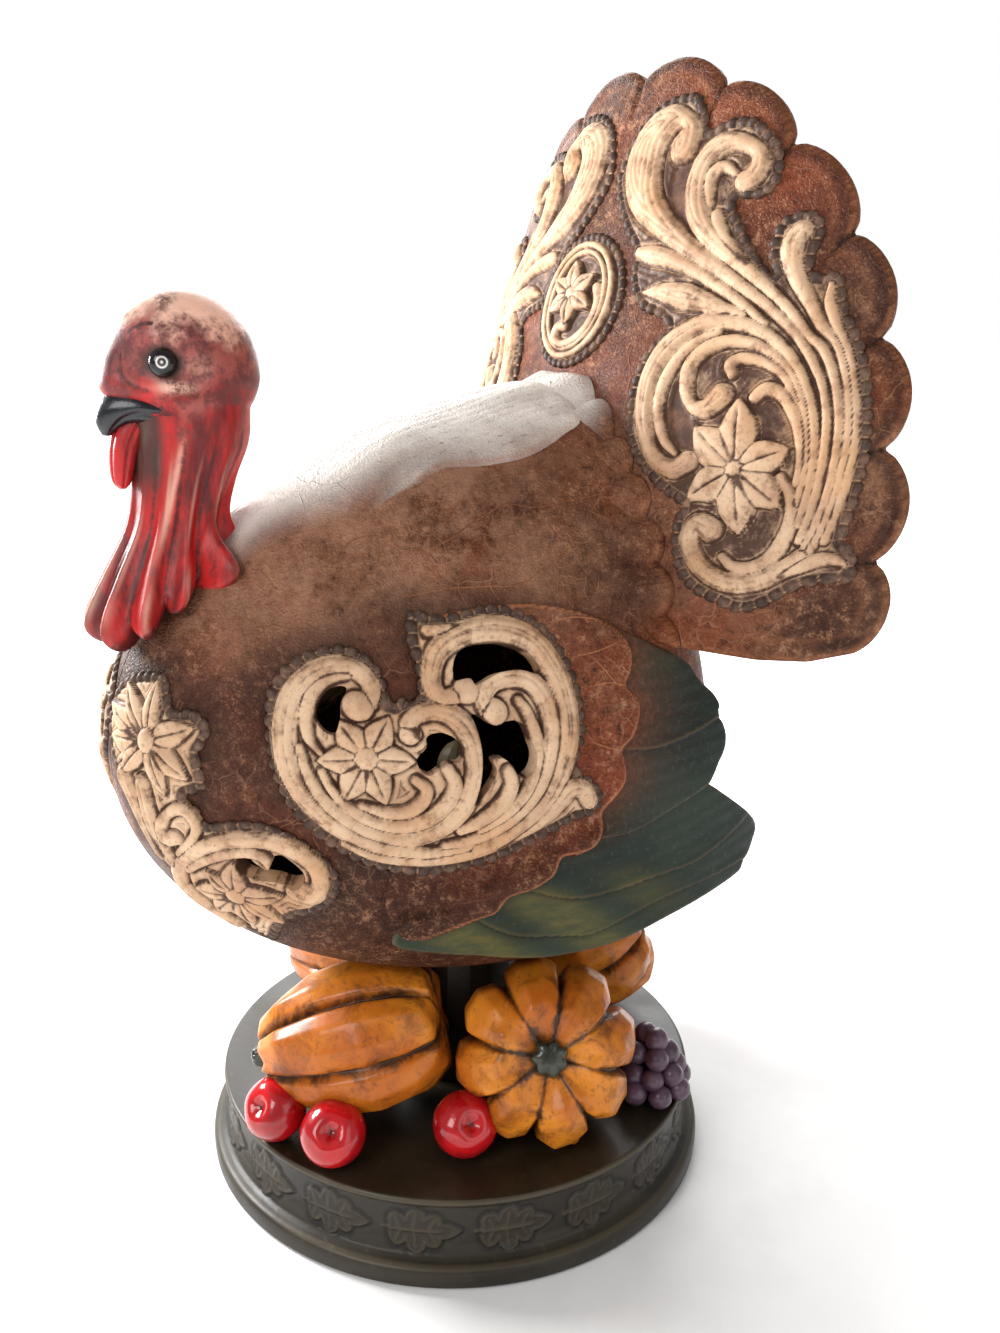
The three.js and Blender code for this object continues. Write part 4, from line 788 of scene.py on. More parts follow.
SIDE_BANDS = [
    widen([(-67.6, 217), (-66.3, 222.2), (-69.3, 226.7), (-75, 228.3), (-81.8, 226.2), (-87.5, 221),
           (-91.1, 214), (-92.6, 205.9), (-92, 197.7), (-89.4, 189.9), (-84.7, 183), (-78, 176.6),
           (-69.8, 171.6), (-60.3, 168.5), (-50.5, 166.9), (-39.6, 167.6)],
           [2.4, 3.0, 3.1, 3.0, 2.8, 2.2, 1.5]),
    widen([(-71.7, 225.7), (-78.6, 224.2), (-83.8, 219.6), (-85.8, 213.3), (-86, 206.8), (-83.2, 201.9)],
           [1.2, 2.0, 2.0, 1.0]),
    widen([(-55.6, 206.9), (-56.7, 210.2), (-53.3, 213.1), (-47.1, 213.9), (-41, 210.5), (-37.4, 203.2),
           (-36.7, 194.6), (-39.1, 186.1), (-44.1, 178.9), (-51.5, 174), (-60.4, 172.7), (-69.8, 175.4),
           (-77.4, 180.2), (-83.5, 186.7), (-87.2, 194.4), (-88.9, 203.6)],
           [2.2, 3.2, 3.0, 2.8, 2.4, 2.2, 1.4]),
    widen([(-46, 195.3), (-43.8, 190), (-46.5, 184), (-52.3, 179.1), (-60.4, 176.9), (-68.2, 178.7),
           (-75, 183), (-80.7, 190.1), (-83.3, 196.1)], [1.8, 2.6, 2.2, 1.8, 1.2]),
    widen([(-55.9, 192.2), (-52.9, 188.9), (-54.7, 184.6), (-59.5, 181.8), (-65.8, 182.2), (-72.7, 184.9)],
           [1.6, 2.2, 2.0, 1.2]),
    widen([(-41.2, 218.3), (-46.1, 217.6), (-48.1, 223.1), (-45.7, 230.5), (-39.2, 235.6), (-29.5, 237.8),
           (-21, 237), (-13.5, 233.1), (-8.5, 225.3), (-5.6, 216.3), (-4.9, 206.1), (-6.8, 195.9),
           (-10.5, 186.5), (-16.1, 178.8), (-24.1, 172.3), (-32.7, 167.6), (-43.7, 164.9), (-56.1, 164.5),
           (-68.1, 166.8), (-77.4, 172.1)], [2.4, 3.2, 3.7, 3.7, 3.5, 3.0, 2.4, 1.8, 1.4]),
    widen([(-46.9, 238), (-42.9, 237.9), (-37.9, 238.1), (-29.2, 239.2)], [1.8, 1.6, 1.0]),
    widen([(-31.2, 211), (-32.6, 216.9), (-29.4, 221.6), (-22.6, 223.1), (-16.2, 221), (-12.1, 214.8),
           (-10.7, 206.7), (-11.9, 197.3), (-15.6, 187.1), (-22, 179.3), (-29.9, 173.7), (-38.9, 170.4),
           (-47.3, 169.3)], [2.6, 3.2, 3.0, 2.8, 2.4, 2.0, 1.4]),
    widen([(-21.1, 215.2), (-18.5, 210.8), (-16.2, 202.1), (-17.2, 193.5), (-20.6, 185), (-26.9, 178.5),
           (-35.6, 173.8)], [1.6, 2.0, 2.2, 2.0, 1.4]),
    widen([(-26.6, 193.2), (-25.5, 188.3), (-29.1, 181.9), (-35.6, 177.1), (-42.4, 174.1)],
           [1.8, 2.6, 2.4, 1.5]),
    widen([(2, 179.3), (-0.5, 183.8), (-5.3, 184.5), (-9.1, 180.8), (-14.2, 175.9), (-21.4, 171.7),
           (-30.1, 167.5)], [2.6, 3.2, 2.8, 2.0, 1.3])]
SIDE_BALLS = [((-70.9, 216.2), 4.9), ((-37.9, 219.5), 4.4), ((-29.7, 212.4), 4.6), ((-56.8, 206.9), 3.5)]
SIDE_FLOWER = ((-70.2, 200), [
    (-77.7, 212.3), (-62.1, 213), (-55.4, 198.3), (-65.1, 184.6), (-77.8, 186.1), (-84.6, 199.4)])


def side_forms(Y, Z):
    forms = [band(Y, Z, rows * (1, 1, 1.22)) for rows in SIDE_BANDS]
    forms += [ball(Y, Z, centre, radius, 1.0, 0.7) for centre, radius in SIDE_BALLS]
    return forms + flower(Y, Z, *SIDE_FLOWER, wide=5.0, heart=4.0, top=2.2)


SIDE = Panel(SIDE_OUTLINE, side_forms, wide=4.0, high=0.4, ground=0.3, bead=1.5, holes=SIDE_HOLES)
panel = plate(Shape(), np.arange(-99, 10.5, 0.48), np.arange(155, 248, 0.48),
              SIDE.cut, egg_side, SIDE.relief, SIDE.back)
build_pair("side_panel", panel, CREAM)


# The breast panel: arcs from the front and up.

BREAST_OUTLINE = curve([
    (13.1, 37.2), (25, 39.9), (34.9, 38.9), (41.1, 30), (49.5, 29.9), (56.2, 24.6), (54.6, 18.9),
    (52.9, 15.8), (54.9, 6.2), (50.2, 3.3), (46.9, 1.7), (51.4, -2.1), (52.6, -6.3), (63.1, -5.1),
    (71.9, -6.4), (78, -10.3), (82.5, -15), (85.9, -21.6), (86.9, -29.2), (82.7, -38.2), (75.5, -44.1),
    (69.7, -45.3), (61.1, -50.7), (43.5, -66.4), (40.6, -58), (35.2, -50.5), (28.2, -42.4), (27.8, -32.2),
    (27.1, -23.3), (24.8, -14.6), (20.7, -5.4), (14.6, 2.1), (8.5, 7.7), (3.8, 14.9), (1.4, 23),
    (4.2, 31.8)], 4, closed=True)
BREAST_HOLE = curve([
    (58.5, -19.3), (62.8, -18.3), (66.1, -21.8), (68.1, -23.4), (71.6, -17.7), (74.9, -18.9), (77.9, -24.3),
    (76.9, -28.7), (72.9, -30.7), (68.7, -28.6), (62.8, -27.5), (59.6, -25.5)], 4, closed=True)
BREAST_BANDS = [
    [(28.9, 4.8, 3.6), (29.7, -1.3, 4), (30, -8, 4.1), (31.1, -15.6, 4.2), (33.1, -22.7, 3.9)],
    [(18.1, 5.6, 4.7), (21.8, 0.8, 4.3), (24.7, -5.2, 4.3), (27.3, -12.5, 4.4), (29.5, -20.1, 4.5)],
    [(39.8, -12.8, 2.8), (34.7, -13.7, 3.3), (33.9, -10, 3.1), (38.8, -4.3, 2.2), (45.4, -1.6, 2.7),
     (49.1, -4.4, 2.8), (49, -8.9, 2.1), (45.1, -13.6, 1.7), (38.2, -19.1, 1.7)],
    [(74.5, -33.1, 4.6), (76.9, -34.5, 3.9), (80.9, -30.6, 2.8), (82.1, -23.7, 3), (79.6, -17.9, 3.4),
     (75, -13.8, 3.5), (68.4, -11.6, 3.3), (60.2, -11.8, 3.1), (50.8, -14.8, 2.8), (41.3, -20.2, 2.6),
     (34, -26, 3.3), (30.1, -33.5, 4), (31.6, -40.1, 4), (36.1, -45.4, 4), (40.5, -51.3, 4)],
    [(69.1, -21.3, 1.7), (68.1, -17.7, 2.4), (63.5, -16.3, 2.3), (56.4, -17.5, 2.1), (47.6, -20.9, 1.9),
     (38.9, -25.7, 1.7)]]
BREAST_FLOWERS = [
    ((32.7, 19.2), [
        (32.6, 38.1), (14.6, 35.5), (4.8, 27.3), (9.6, 17.5), (17.6, 6.9), (40.2, 1.7), (50, 7.9),
        (51.9, 24.4)], 4.6, 4.2),
    ((53, -34.4), [
        (69.2, -34.1), (62.4, -48.2), (48.4, -51.7), (37.4, -45), (36.2, -33.8), (46.6, -24.5),
        (57.8, -20.2)], 4.4, 3.6)]


def breast_forms(A, B):
    forms = [band(A, B, rows, top=2.0, base=1.1) for rows in BREAST_BANDS]
    for centre, tips, wide, heart in BREAST_FLOWERS:
        forms += flower(A, B, centre, tips, wide=wide, heart=heart, top=2.0)
    return forms


BREAST = Panel(BREAST_OUTLINE, breast_forms, wide=3.6, high=0.3, ground=0.2, bead=1.3, holes=[BREAST_HOLE])


def breast_cut(A, B):
    """The two breast panels stay clear of the middle plane."""
    return np.maximum(BREAST.cut(A, B), 0.35 - A)


panel = plate(Shape(), np.arange(0.3, 89, 0.52), np.arange(-68, 42, 0.52),
              breast_cut, egg_polar, BREAST.relief, BREAST.back)
build_pair("breast_panel", panel, CREAM)


# The body shell with its tooled lines.

WALL = 5.0
SEAM = 0.03  # arc from the middle plane to each half
LAP = 1.6  # how far a shell reaches under its panels

BODY_LINES = [
    [(-66.8, 259), (-63.6, 264.1), (-55.3, 266.3), (-47.7, 262.4), (-42.5, 261.9), (-33.3, 264.8),
     (-25.3, 269), (-16, 273.2), (-10.2, 275.3), (-4.3, 274.5), (0.7, 274), (13.3, 275.7), (29.1, 277.5)],
    [(-52.4, 248.2), (-39.2, 250.5), (-30.7, 250.7), (-22.9, 250.8), (-14, 250.8), (-3.6, 254.8),
     (6.7, 260.6), (12.4, 267.6)],
    [(-38.7, 277.9), (-33.8, 276.6), (-29.1, 276.8)],
    [(-13, 282.9), (-3.3, 284.1), (5.4, 284.8), (14.1, 286.8)],
    [(-54.5, 265.9), (-55.9, 260.8), (-58.4, 255.6)], [(-39.9, 261.4), (-39.1, 256.2), (-39.2, 250.5)],
    [(-66.8, 259), (-71.1, 252.2), (-77.7, 245.3)]]


def shell_cut(A, B):
    P, _ = egg_polar(A.ravel(), B.ravel())
    side = signed(P[:, 1], P[:, 2], SIDE_OUTLINE).reshape(A.shape)
    side = np.where(P[:, 0].reshape(A.shape) > 5, side, 50)
    breast = signed(A, B, BREAST_OUTLINE)
    poles = np.maximum(-1.38 * LAT - B, B - 1.553 * LAT)
    edge = np.maximum(np.maximum(SEAM - A, A - (LON * math.pi - SEAM)), poles)
    return np.maximum(np.maximum(-(side + LAP), -(breast + LAP)), edge)


def pale(x, y):
    """Share of painted highlight over the back, a pale sheen along the ridge that fades down the sides."""
    edge = 22 + 0.24 * (np.clip(y, -94, 0) + 94)
    wander = 1.5 * np.sin(y * 0.13)
    return 0.95 * smooth(edge + 6, edge - 18, np.abs(x) + wander) * smooth(-104, -90, y)


def hollow_back(x, y):
    """How far the middle of the back lies below the egg."""
    return 2.0 * bell(y + 2, 22) * smooth(36, 12, np.abs(x))


def shell_relief(A, B):
    P, _ = egg_polar(A, B)
    top = smooth(236, 250, P[:, 2])
    beside = np.where(P[:, 0] > 5, signed(P[:, 1], P[:, 2], SIDE_OUTLINE), 50)
    beside = np.minimum(beside, signed(A, B, BREAST_OUTLINE))
    # lift: a painted highlight, the sheen along the top of the back.
    lift = pale(P[:, 0], P[:, 1]) * top * smooth(-34, -58, P[:, 1])
    mist = smooth(218, 256, P[:, 2]) * smooth(34, -30, P[:, 1])
    # dark: painted shade on the shell beside the raised side and breast panels.
    return -hollow_back(P[:, 0], P[:, 1]) * top, dict(lift=lift, dark=smooth(13, 0.5, beside), mist=mist)


shell = plate(Shape(), np.linspace(0, LON * math.pi, 160), np.linspace(-1.385 * LAT, 1.557 * LAT, 150),
              shell_cut, egg_polar, shell_relief, -WALL)
for rows in BODY_LINES:
    line = curve(rows, 6)
    P, N = egg_side(line[:, 0], line[:, 1])
    ridge(shell, P, N, 0.3, 0.12, line=0.26)
build_pair("body_shell", shell, LEATHER)


# Wings: covert over upper and lower flight feathers, y and z from the side.

COVERT = curve([
    (-46, 236), (-42.1, 242.3), (-29.6, 244.4), (-12.5, 245.1), (0.2, 242), (10.5, 238.1), (17.3, 233.6),
    (20.5, 227.6), (19.4, 221.2), (16.8, 216.6), (20.7, 212), (21.1, 206.9), (18.1, 199.7), (13.6, 196),
    (14.6, 190.8), (14.4, 184.4), (11.6, 178.4), (7.6, 173.6), (7.0, 169), (3.2, 163.6), (-3, 161.2),
    (-8.6, 160.4), (-11.6, 155.4), (-19.2, 151.2), (-26.9, 149.4), (-31.1, 144.4), (-36.9, 142.2),
    (-42.5, 139.9), (-48.8, 137.6), (-53.3, 135.9), (-60, 137), (-65, 147), (-62, 161), (-50, 175),
    (-46, 205)], 4, closed=True)
COVERT_LINES = [
    [(-7.4, 238.5), (0.9, 239.1), (9.9, 237.6)], [(-0.6, 227.1), (8, 228.3), (16, 230.4)],
    [(4.9, 227), (8.8, 222.3), (12.9, 217.4), (16.2, 216.7)], [(3.3, 217.2), (10.1, 218.1), (16.2, 216.7)],
    [(2.5, 199.8), (8, 197.3), (13, 196.2)]]
UPPER_FLIGHT = curve([
    (-20, 230), (0, 238), (12.2, 238.7), (19.2, 234.4), (31.3, 228.3), (43.8, 221.4), (49.1, 214.2),
    (54.6, 208.9), (57, 204.9), (56.2, 201.5), (59.5, 196.3), (59.9, 189.7), (55.9, 183.1), (51.5, 176.9),
    (43.7, 173.8), (32.5, 169.8), (21.9, 166.1), (11.7, 164.6), (0, 165.6), (-12, 170), (-18, 185),
    (-20, 210)], 4, closed=True)
LOWER_FLIGHT = curve([
    (-14, 172), (0, 169), (12, 168.5), (24, 171), (36, 175), (46, 178.5), (51.5, 176.9), (58.6, 172),
    (70.2, 163.3), (76.8, 157.4), (78.9, 153.2), (77.2, 148), (73.3, 141.8), (71.6, 138.1), (67.4, 136.3),
    (52.9, 132.7), (35.6, 128.3), (21.8, 124.3), (12.6, 122.7), (0.7, 122.1), (-10.7, 122), (-23.7, 123.9),
    (-36.9, 126.8), (-50, 129), (-62, 132), (-58, 142), (-40, 152), (-25, 163)], 4, closed=True)
UPPER_LINES = [[(16, 195.2), (20.1, 194.6), (27.4, 194), (37.2, 195.6), (46.4, 197.7), (55.8, 200.8)]]
LOWER_LINES = [
    [(-22, 151.4), (-10.7, 146.5), (-1.2, 144.4), (12.6, 144.8), (28.1, 147), (44.9, 148.8), (59.6, 154.1),
     (67.6, 158)],
    [(-38, 142), (-29, 136), (-21.7, 132.9), (-7.8, 130.8), (3.8, 129.3), (18.7, 133.4), (32.3, 137.5),
     (58.3, 141.2), (71, 143)]]


def wing_side(y, z):
    """The body's side by the panel, eased out to the wing's own fuller curve."""
    share = smooth(0, 16, signed(y, z, SIDE_OUTLINE)) * smooth(-85, -45, y)
    return egg_side(y, z, REAR + (WING_REAR - REAR) * share, DOWN + (WING_DOWN - DOWN) * share)


def covert_cut(Y, Z):
    return np.maximum(signed(Y, Z, COVERT), -(signed(Y, Z, SIDE_OUTLINE) + 1.2))


def covert_relief(Y, Z):
    d = signed(Y, Z, COVERT)
    off = signed(Y, Z, SIDE_OUTLINE)
    behind = smooth(-64, -40, Y)
    raised = np.maximum(smooth(-14, 4, Y), smooth(172, 154, Z) * smooth(-60, -28, Y)) * smooth(0.5, 8, off)
    edge = (0.1 + 0.4 * behind + 0.9 * raised) * (1 - rolled(d, 1.6))
    line = bell(d + 0.8, 0.45) * 0.65 * smooth(-60, -40, Y)
    return 0.12 + 0.68 * behind + 4.2 * raised - edge, dict(line=line)


def covert_back(Y, Z):
    """Lifted where it lies over the flight feathers."""
    over = np.minimum(signed(Y, Z, UPPER_FLIGHT), signed(Y, Z, LOWER_FLIGHT)) < 2
    over = over & (signed(Y, Z, COVERT) > -7.5) & (signed(Y, Z, SIDE_OUTLINE) > 9)
    return np.where(over, 3.3, 0.1)


covert = plate(Shape(), np.arange(-82, 23, 0.8), np.arange(133, 249, 0.8),
               covert_cut, wing_side, covert_relief, covert_back)
for rows in COVERT_LINES:
    line = curve(rows, 6)
    P, N = wing_side(line[:, 0], line[:, 1])
    height, _ = covert_relief(line[:, 0], line[:, 1])
    ridge(covert, P + N * height[:, None], N, 0.28, 0.16, line=0.5)
build_pair("wing_covert", covert, LEATHER)


def feather_steps(Y, Z, lines):
    """The lower edge of each feather stands over the next one down."""
    height, edge, ink = np.zeros((3, len(Y)))
    for rows in lines:
        d, _, side = along(Y, Z, curve(rows, 6))
        above = side > 0
        height += np.where(above, 1.1 * np.exp(-d / 5), 0)
        edge = np.maximum(edge, np.where(above, bell(d - 0.6, 0.5), 0))
        ink = np.maximum(ink, np.where(above, 0, np.exp(-d / 1.2)))
    return height, edge, ink


def flight(ring, lines, lift, barb):
    def relief(Y, Z):
        d = signed(Y, Z, ring)
        height, edge, ink = feather_steps(Y, Z, lines)
        rise = lift * (0.45 + 0.55 * rolled(d, 2))
        streak = np.sin((Z - barb * Y) * 1.15) * 0.06
        olive = smooth(158, 142, Z) * smooth(60, -10, Y) * (0.55 + 0.45 * np.sin(Y * 0.16 + Z * 0.2))
        warm = np.exp(-np.maximum(signed(Y, Z, COVERT), 0) / 9) * smooth(150, 196, Z)
        fields = dict(line=np.maximum(edge * 0.3, bell(d + 0.6, 0.5) * 0.3), ink=ink * 0.8,
                      olive=np.clip(olive, 0, 0.8), warm=warm * 0.85)
        ease = smooth(1, 9, signed(Y, Z, SIDE_OUTLINE))
        return 0.4 + (0.1 + rise + 0.8 * height + streak) * ease, fields

    def cut(Y, Z):
        under = np.maximum(-(signed(Y, Z, COVERT) + 7), 1.5 - signed(Y, Z, SIDE_OUTLINE))
        return np.maximum(signed(Y, Z, ring), under)

    u, v = (np.arange(low - 1, high + 1, 0.62) for low, high in zip(ring.min(0), ring.max(0)))
    return plate(Shape(), u, v, cut, wing_side, relief, 0.2)


build_pair("wing_flight_upper", flight(UPPER_FLIGHT, UPPER_LINES, 1.9, 0.1), FEATHER)
build_pair("wing_flight_lower", flight(LOWER_FLIGHT, LOWER_LINES, 1.2, 0.25), FEATHER)


# Saddle feathers over the back, with the collar that stands before the fan.

SADDLE_SIDE = [
    (0, -86), (16, -80), (30, -70), (40.4, -57.4), (40.5, -48.9), (38.7, -39.4), (36.5, -26.2),
    (38.5, -19.4), (40.5, -11.3), (41.7, -0.4), (40.9, 9.5), (37, 22), (30, 33), (0, 40)]
SADDLE = curve(SADDLE_SIDE + [(-x, y) for x, y in SADDLE_SIDE[-2:0:-1]], 4, closed=True)
JUNCTION = [
    (0, 307.8), (14.2, 305.7), (27.3, 300.1), (38.9, 292.3), (48.8, 283.1), (57.4, 273.1),
    (65, 262.5), (71.7, 251.1), (77.8, 238.7), (83.2, 225)]
COLLAR_Z = 225  # the lobes spread from this height on the middle plane
COLLAR_CUSPS = [92, 74, 61, 48.5, 35, 22, 9, -3]


def collar_outline():
    """Lobes of feathers round the place where the body meets the fan."""
    x, z = (np.array(JUNCTION) - (0, COLLAR_Z)).T
    turn = np.arange(88.0, 1.0, -0.8)
    reach = np.interp(-turn, -np.degrees(np.arctan2(z, x)), np.hypot(x, z))
    lobe = np.interp(-turn, -np.array(COLLAR_CUSPS, float), np.arange(len(COLLAR_CUSPS)))
    reach = reach + 0.8 + 5.2 * np.abs(np.sin(np.pi * lobe)) ** 0.6 + 4.0 * smooth(62, 80, turn)
    turn = np.radians(turn)
    right = np.column_stack([reach * np.cos(turn), COLLAR_Z + reach * np.sin(turn)])
    return np.vstack([right, [(60, 229), (-60, 229)], right[::-1] * (-1, 1)])


COLLAR = collar_outline()


def saddle_relief(X, Y):
    d, x = signed(X, Y, SADDLE), np.abs(X)
    fold = 0.8 * np.sin(x * 0.17 + Y * 0.035) + 0.4 * np.sin(x * 0.31 - Y * 0.06)
    barbs = 0.16 * np.sin(x * 1.7 + 1.2 * np.sin(Y * 0.11) + 0.2 * Y)
    barbs = barbs * smooth(-1, -6, d) * smooth(-80, -50, Y)
    thick = 0.05 + 0.95 * smooth(-72, -30, Y) + 0.8 * fold * smooth(0, -16, d) * smooth(-70, -30, Y)
    height = 0.05 + thick * (0.1 + 0.9 * smooth(0, -7, d)) + barbs
    height = height - 0.8 * smooth(-7, 0, d) * smooth(-30, -56, Y)
    # lift: painted highlight over the back, paler inside the saddle's rear feathers and on the tops of its
    # folds.
    inside = 0.5 * smooth(-0.5, -3, d) * smooth(-58, -34, Y)
    lift = np.maximum(pale(X, Y), inside) * (0.8 + 0.2 * smooth(-0.6, 0.8, fold))
    lip = smooth(-50, -30, Y)
    line, ink = bell(d + 1.2, 0.9) * 0.3 * lip, 0.3 * bell(barbs + 0.16, 0.1) * lip
    return height - hollow_back(X, Y), dict(line=line, ink=ink, lift=lift)


def collar_relief(X, Z):
    d, x = signed(X, Z, COLLAR), np.abs(X)
    slope = 1.25 * np.clip(-d - 0.5, 0, 7 + 4 * smooth(36, 20, x))
    # lift: painted highlight on the middle of the collar, where the back's sheen runs on.
    fields = dict(line=bell(d + 0.9, 0.5) * 0.4, lift=0.65 * smooth(38, 24, x))
    return 0.6 + 2.2 * rolled(d, 2) + slope, fields


saddle = plate(Shape(), np.arange(-43, 43.5, 1.2), np.arange(-88, 42, 1.2),
               within(SADDLE), egg_top, saddle_relief, -3.6)
plate(saddle, np.arange(-92, 92.5, 1.0), np.arange(227, 316, 1.0),
      within(COLLAR), fan_front, collar_relief, 0.1)
build("saddle_feathers_look", saddle, LEATHER, ["saddle_feathers"])


# The fan tail.

CUSPS = [(137, 234), (135, 263), (129, 298), (120, 332), (104, 364), (77, 393), (44, 415), (0, 422)]


def fan_outline():
    side = [np.array([(112.0, 227.9), (126.0, 229.5)])]
    for a, b in zip(CUSPS[:-1], CUSPS[1:]):
        a, b = np.array(a, float), np.array(b, float)
        t = np.linspace(0, 1, 12, endpoint=False)[:, None]
        out = np.array([b[1] - a[1], a[0] - b[0]])
        side.append(a + (b - a) * t + out * 0.2 * np.clip(4 * t * (1 - t), 0, 1) ** 0.75)
    right = np.vstack(side)
    return np.vstack([right, [CUSPS[-1]], right[::-1] * (-1, 1)])


FAN = fan_outline()
FAN_RIM, FAN_CORE = 6, 14  # thickness at the edge and far inside
FAN_HEART_Z = 226.0  # the spokes spread from this height on the middle plane


def spokes(X, Z):
    """Distance to the nearest line from the fan's heart to a cusp."""
    best, Z = np.full(X.shape, 1e9), Z - FAN_HEART_Z
    for sign in (1, -1):
        for x, z in CUSPS:
            axis = unit(np.array((sign * x, z - FAN_HEART_Z)))
            across = np.abs(X * axis[1] - Z * axis[0])
            best = np.where(X * axis[0] + Z * axis[1] > 0, np.minimum(best, across), best)
    return best


def fan_relief(X, Z):
    d = signed(X, Z, FAN)
    groove = bell(spokes(X, Z), 1.3) * smooth(-22, -3, d) * smooth(238, 248, Z)
    inner = bell(d + 6.5, 0.8)
    # line: a painted highlight along the rim's edge, and the tan of the tooled line inside it. dark: painted
    # shade on the rolled rim.
    line = np.maximum(bell(d + 0.7, 0.8) * 0.4, inner * 0.15)
    dark = bell(d + 2.8, 2.2) * smooth(231, 240, Z)
    height = -1.6 * (1 - rolled(d, 3)) - 1.1 * groove - 0.35 * inner
    return height, dict(line=line, ink=groove * 0.6, dark=dark)


def fan_back(X, Z):
    d = signed(X, Z, FAN)
    thick = FAN_RIM + (FAN_CORE - FAN_RIM) * smooth(0, 70, -d)
    return -thick + 1.6 * (1 - rolled(d, 3)) + 1.5 * bell(spokes(X, Z), 1.6)


fan = plate(Shape(), np.arange(-142, 142.5, 1.25), np.arange(226, 429, 1.25),
            within(FAN), fan_front, fan_relief, fan_back)
build("tail_fan_look", fan, LEATHER, ["tail_fan"])

FAN_PANEL = curve([
    (30.4, 413.5), (36.4, 411.8), (41.9, 405), (44.3, 400.1), (47.8, 400.9), (53.1, 402.6), (61.6, 402.2),
    (68, 398.3), (73.9, 393.2), (77.3, 385.4), (76.6, 378.7), (71.5, 375.2), (64.2, 375.7), (63.8, 373.7),
    (68.1, 367.8), (74.6, 360.1), (80.6, 353.7), (83.9, 351.4), (81.1, 355.4), (79.9, 361.1), (81.3, 368.1),
    (86.6, 370.9), (92.9, 370.3), (96.5, 365.2), (95.9, 358.6), (96.1, 352.2), (99.8, 351.3),
    (105.1, 351.3), (107.4, 345.8), (109.8, 339.9), (114, 333.8), (117.8, 327), (121.3, 318.2),
    (124.6, 306), (126.4, 294.4), (127, 284), (126.8, 274.8), (126.8, 268.8), (129.7, 266), (131.7, 256.6),
    (124, 254.5), (117.5, 251.5), (110.9, 245.4), (103.7, 242.1), (95.4, 243.8), (86.2, 246.9),
    (79.8, 252.1), (75.1, 260.6), (73.4, 268.8), (74.3, 274.1), (67.6, 277.1), (58.6, 282.1), (50.7, 287.9),
    (44.1, 295.9), (41.2, 305.1), (40.4, 314.5), (43.2, 325.4), (49.3, 332.3), (44.4, 336.3), (35.3, 339),
    (28.9, 344.7), (25.4, 351), (24.6, 356.6), (22.2, 361.1), (16.2, 366.3), (7.8, 375.6), (2.3, 384.9),
    (2.8, 392.5), (5.5, 399.2), (9.8, 406.2), (19.3, 412)], 3, closed=True)
FAN_LEAVES = [curve(points, 4, closed=True) for points in (
    [(34.5, 390), (38.5, 392.5), (42, 388), (41.5, 380), (44, 372), (49, 365.5), (42, 369), (35.5, 375),
     (33, 383)],
    [(61.4, 317.7), (59.2, 310.8), (60.4, 301.8), (64.6, 294.5), (70.5, 292.7), (74.1, 294.6), (71.2, 301.1),
     (66.6, 307.5), (63.6, 312.6)])]
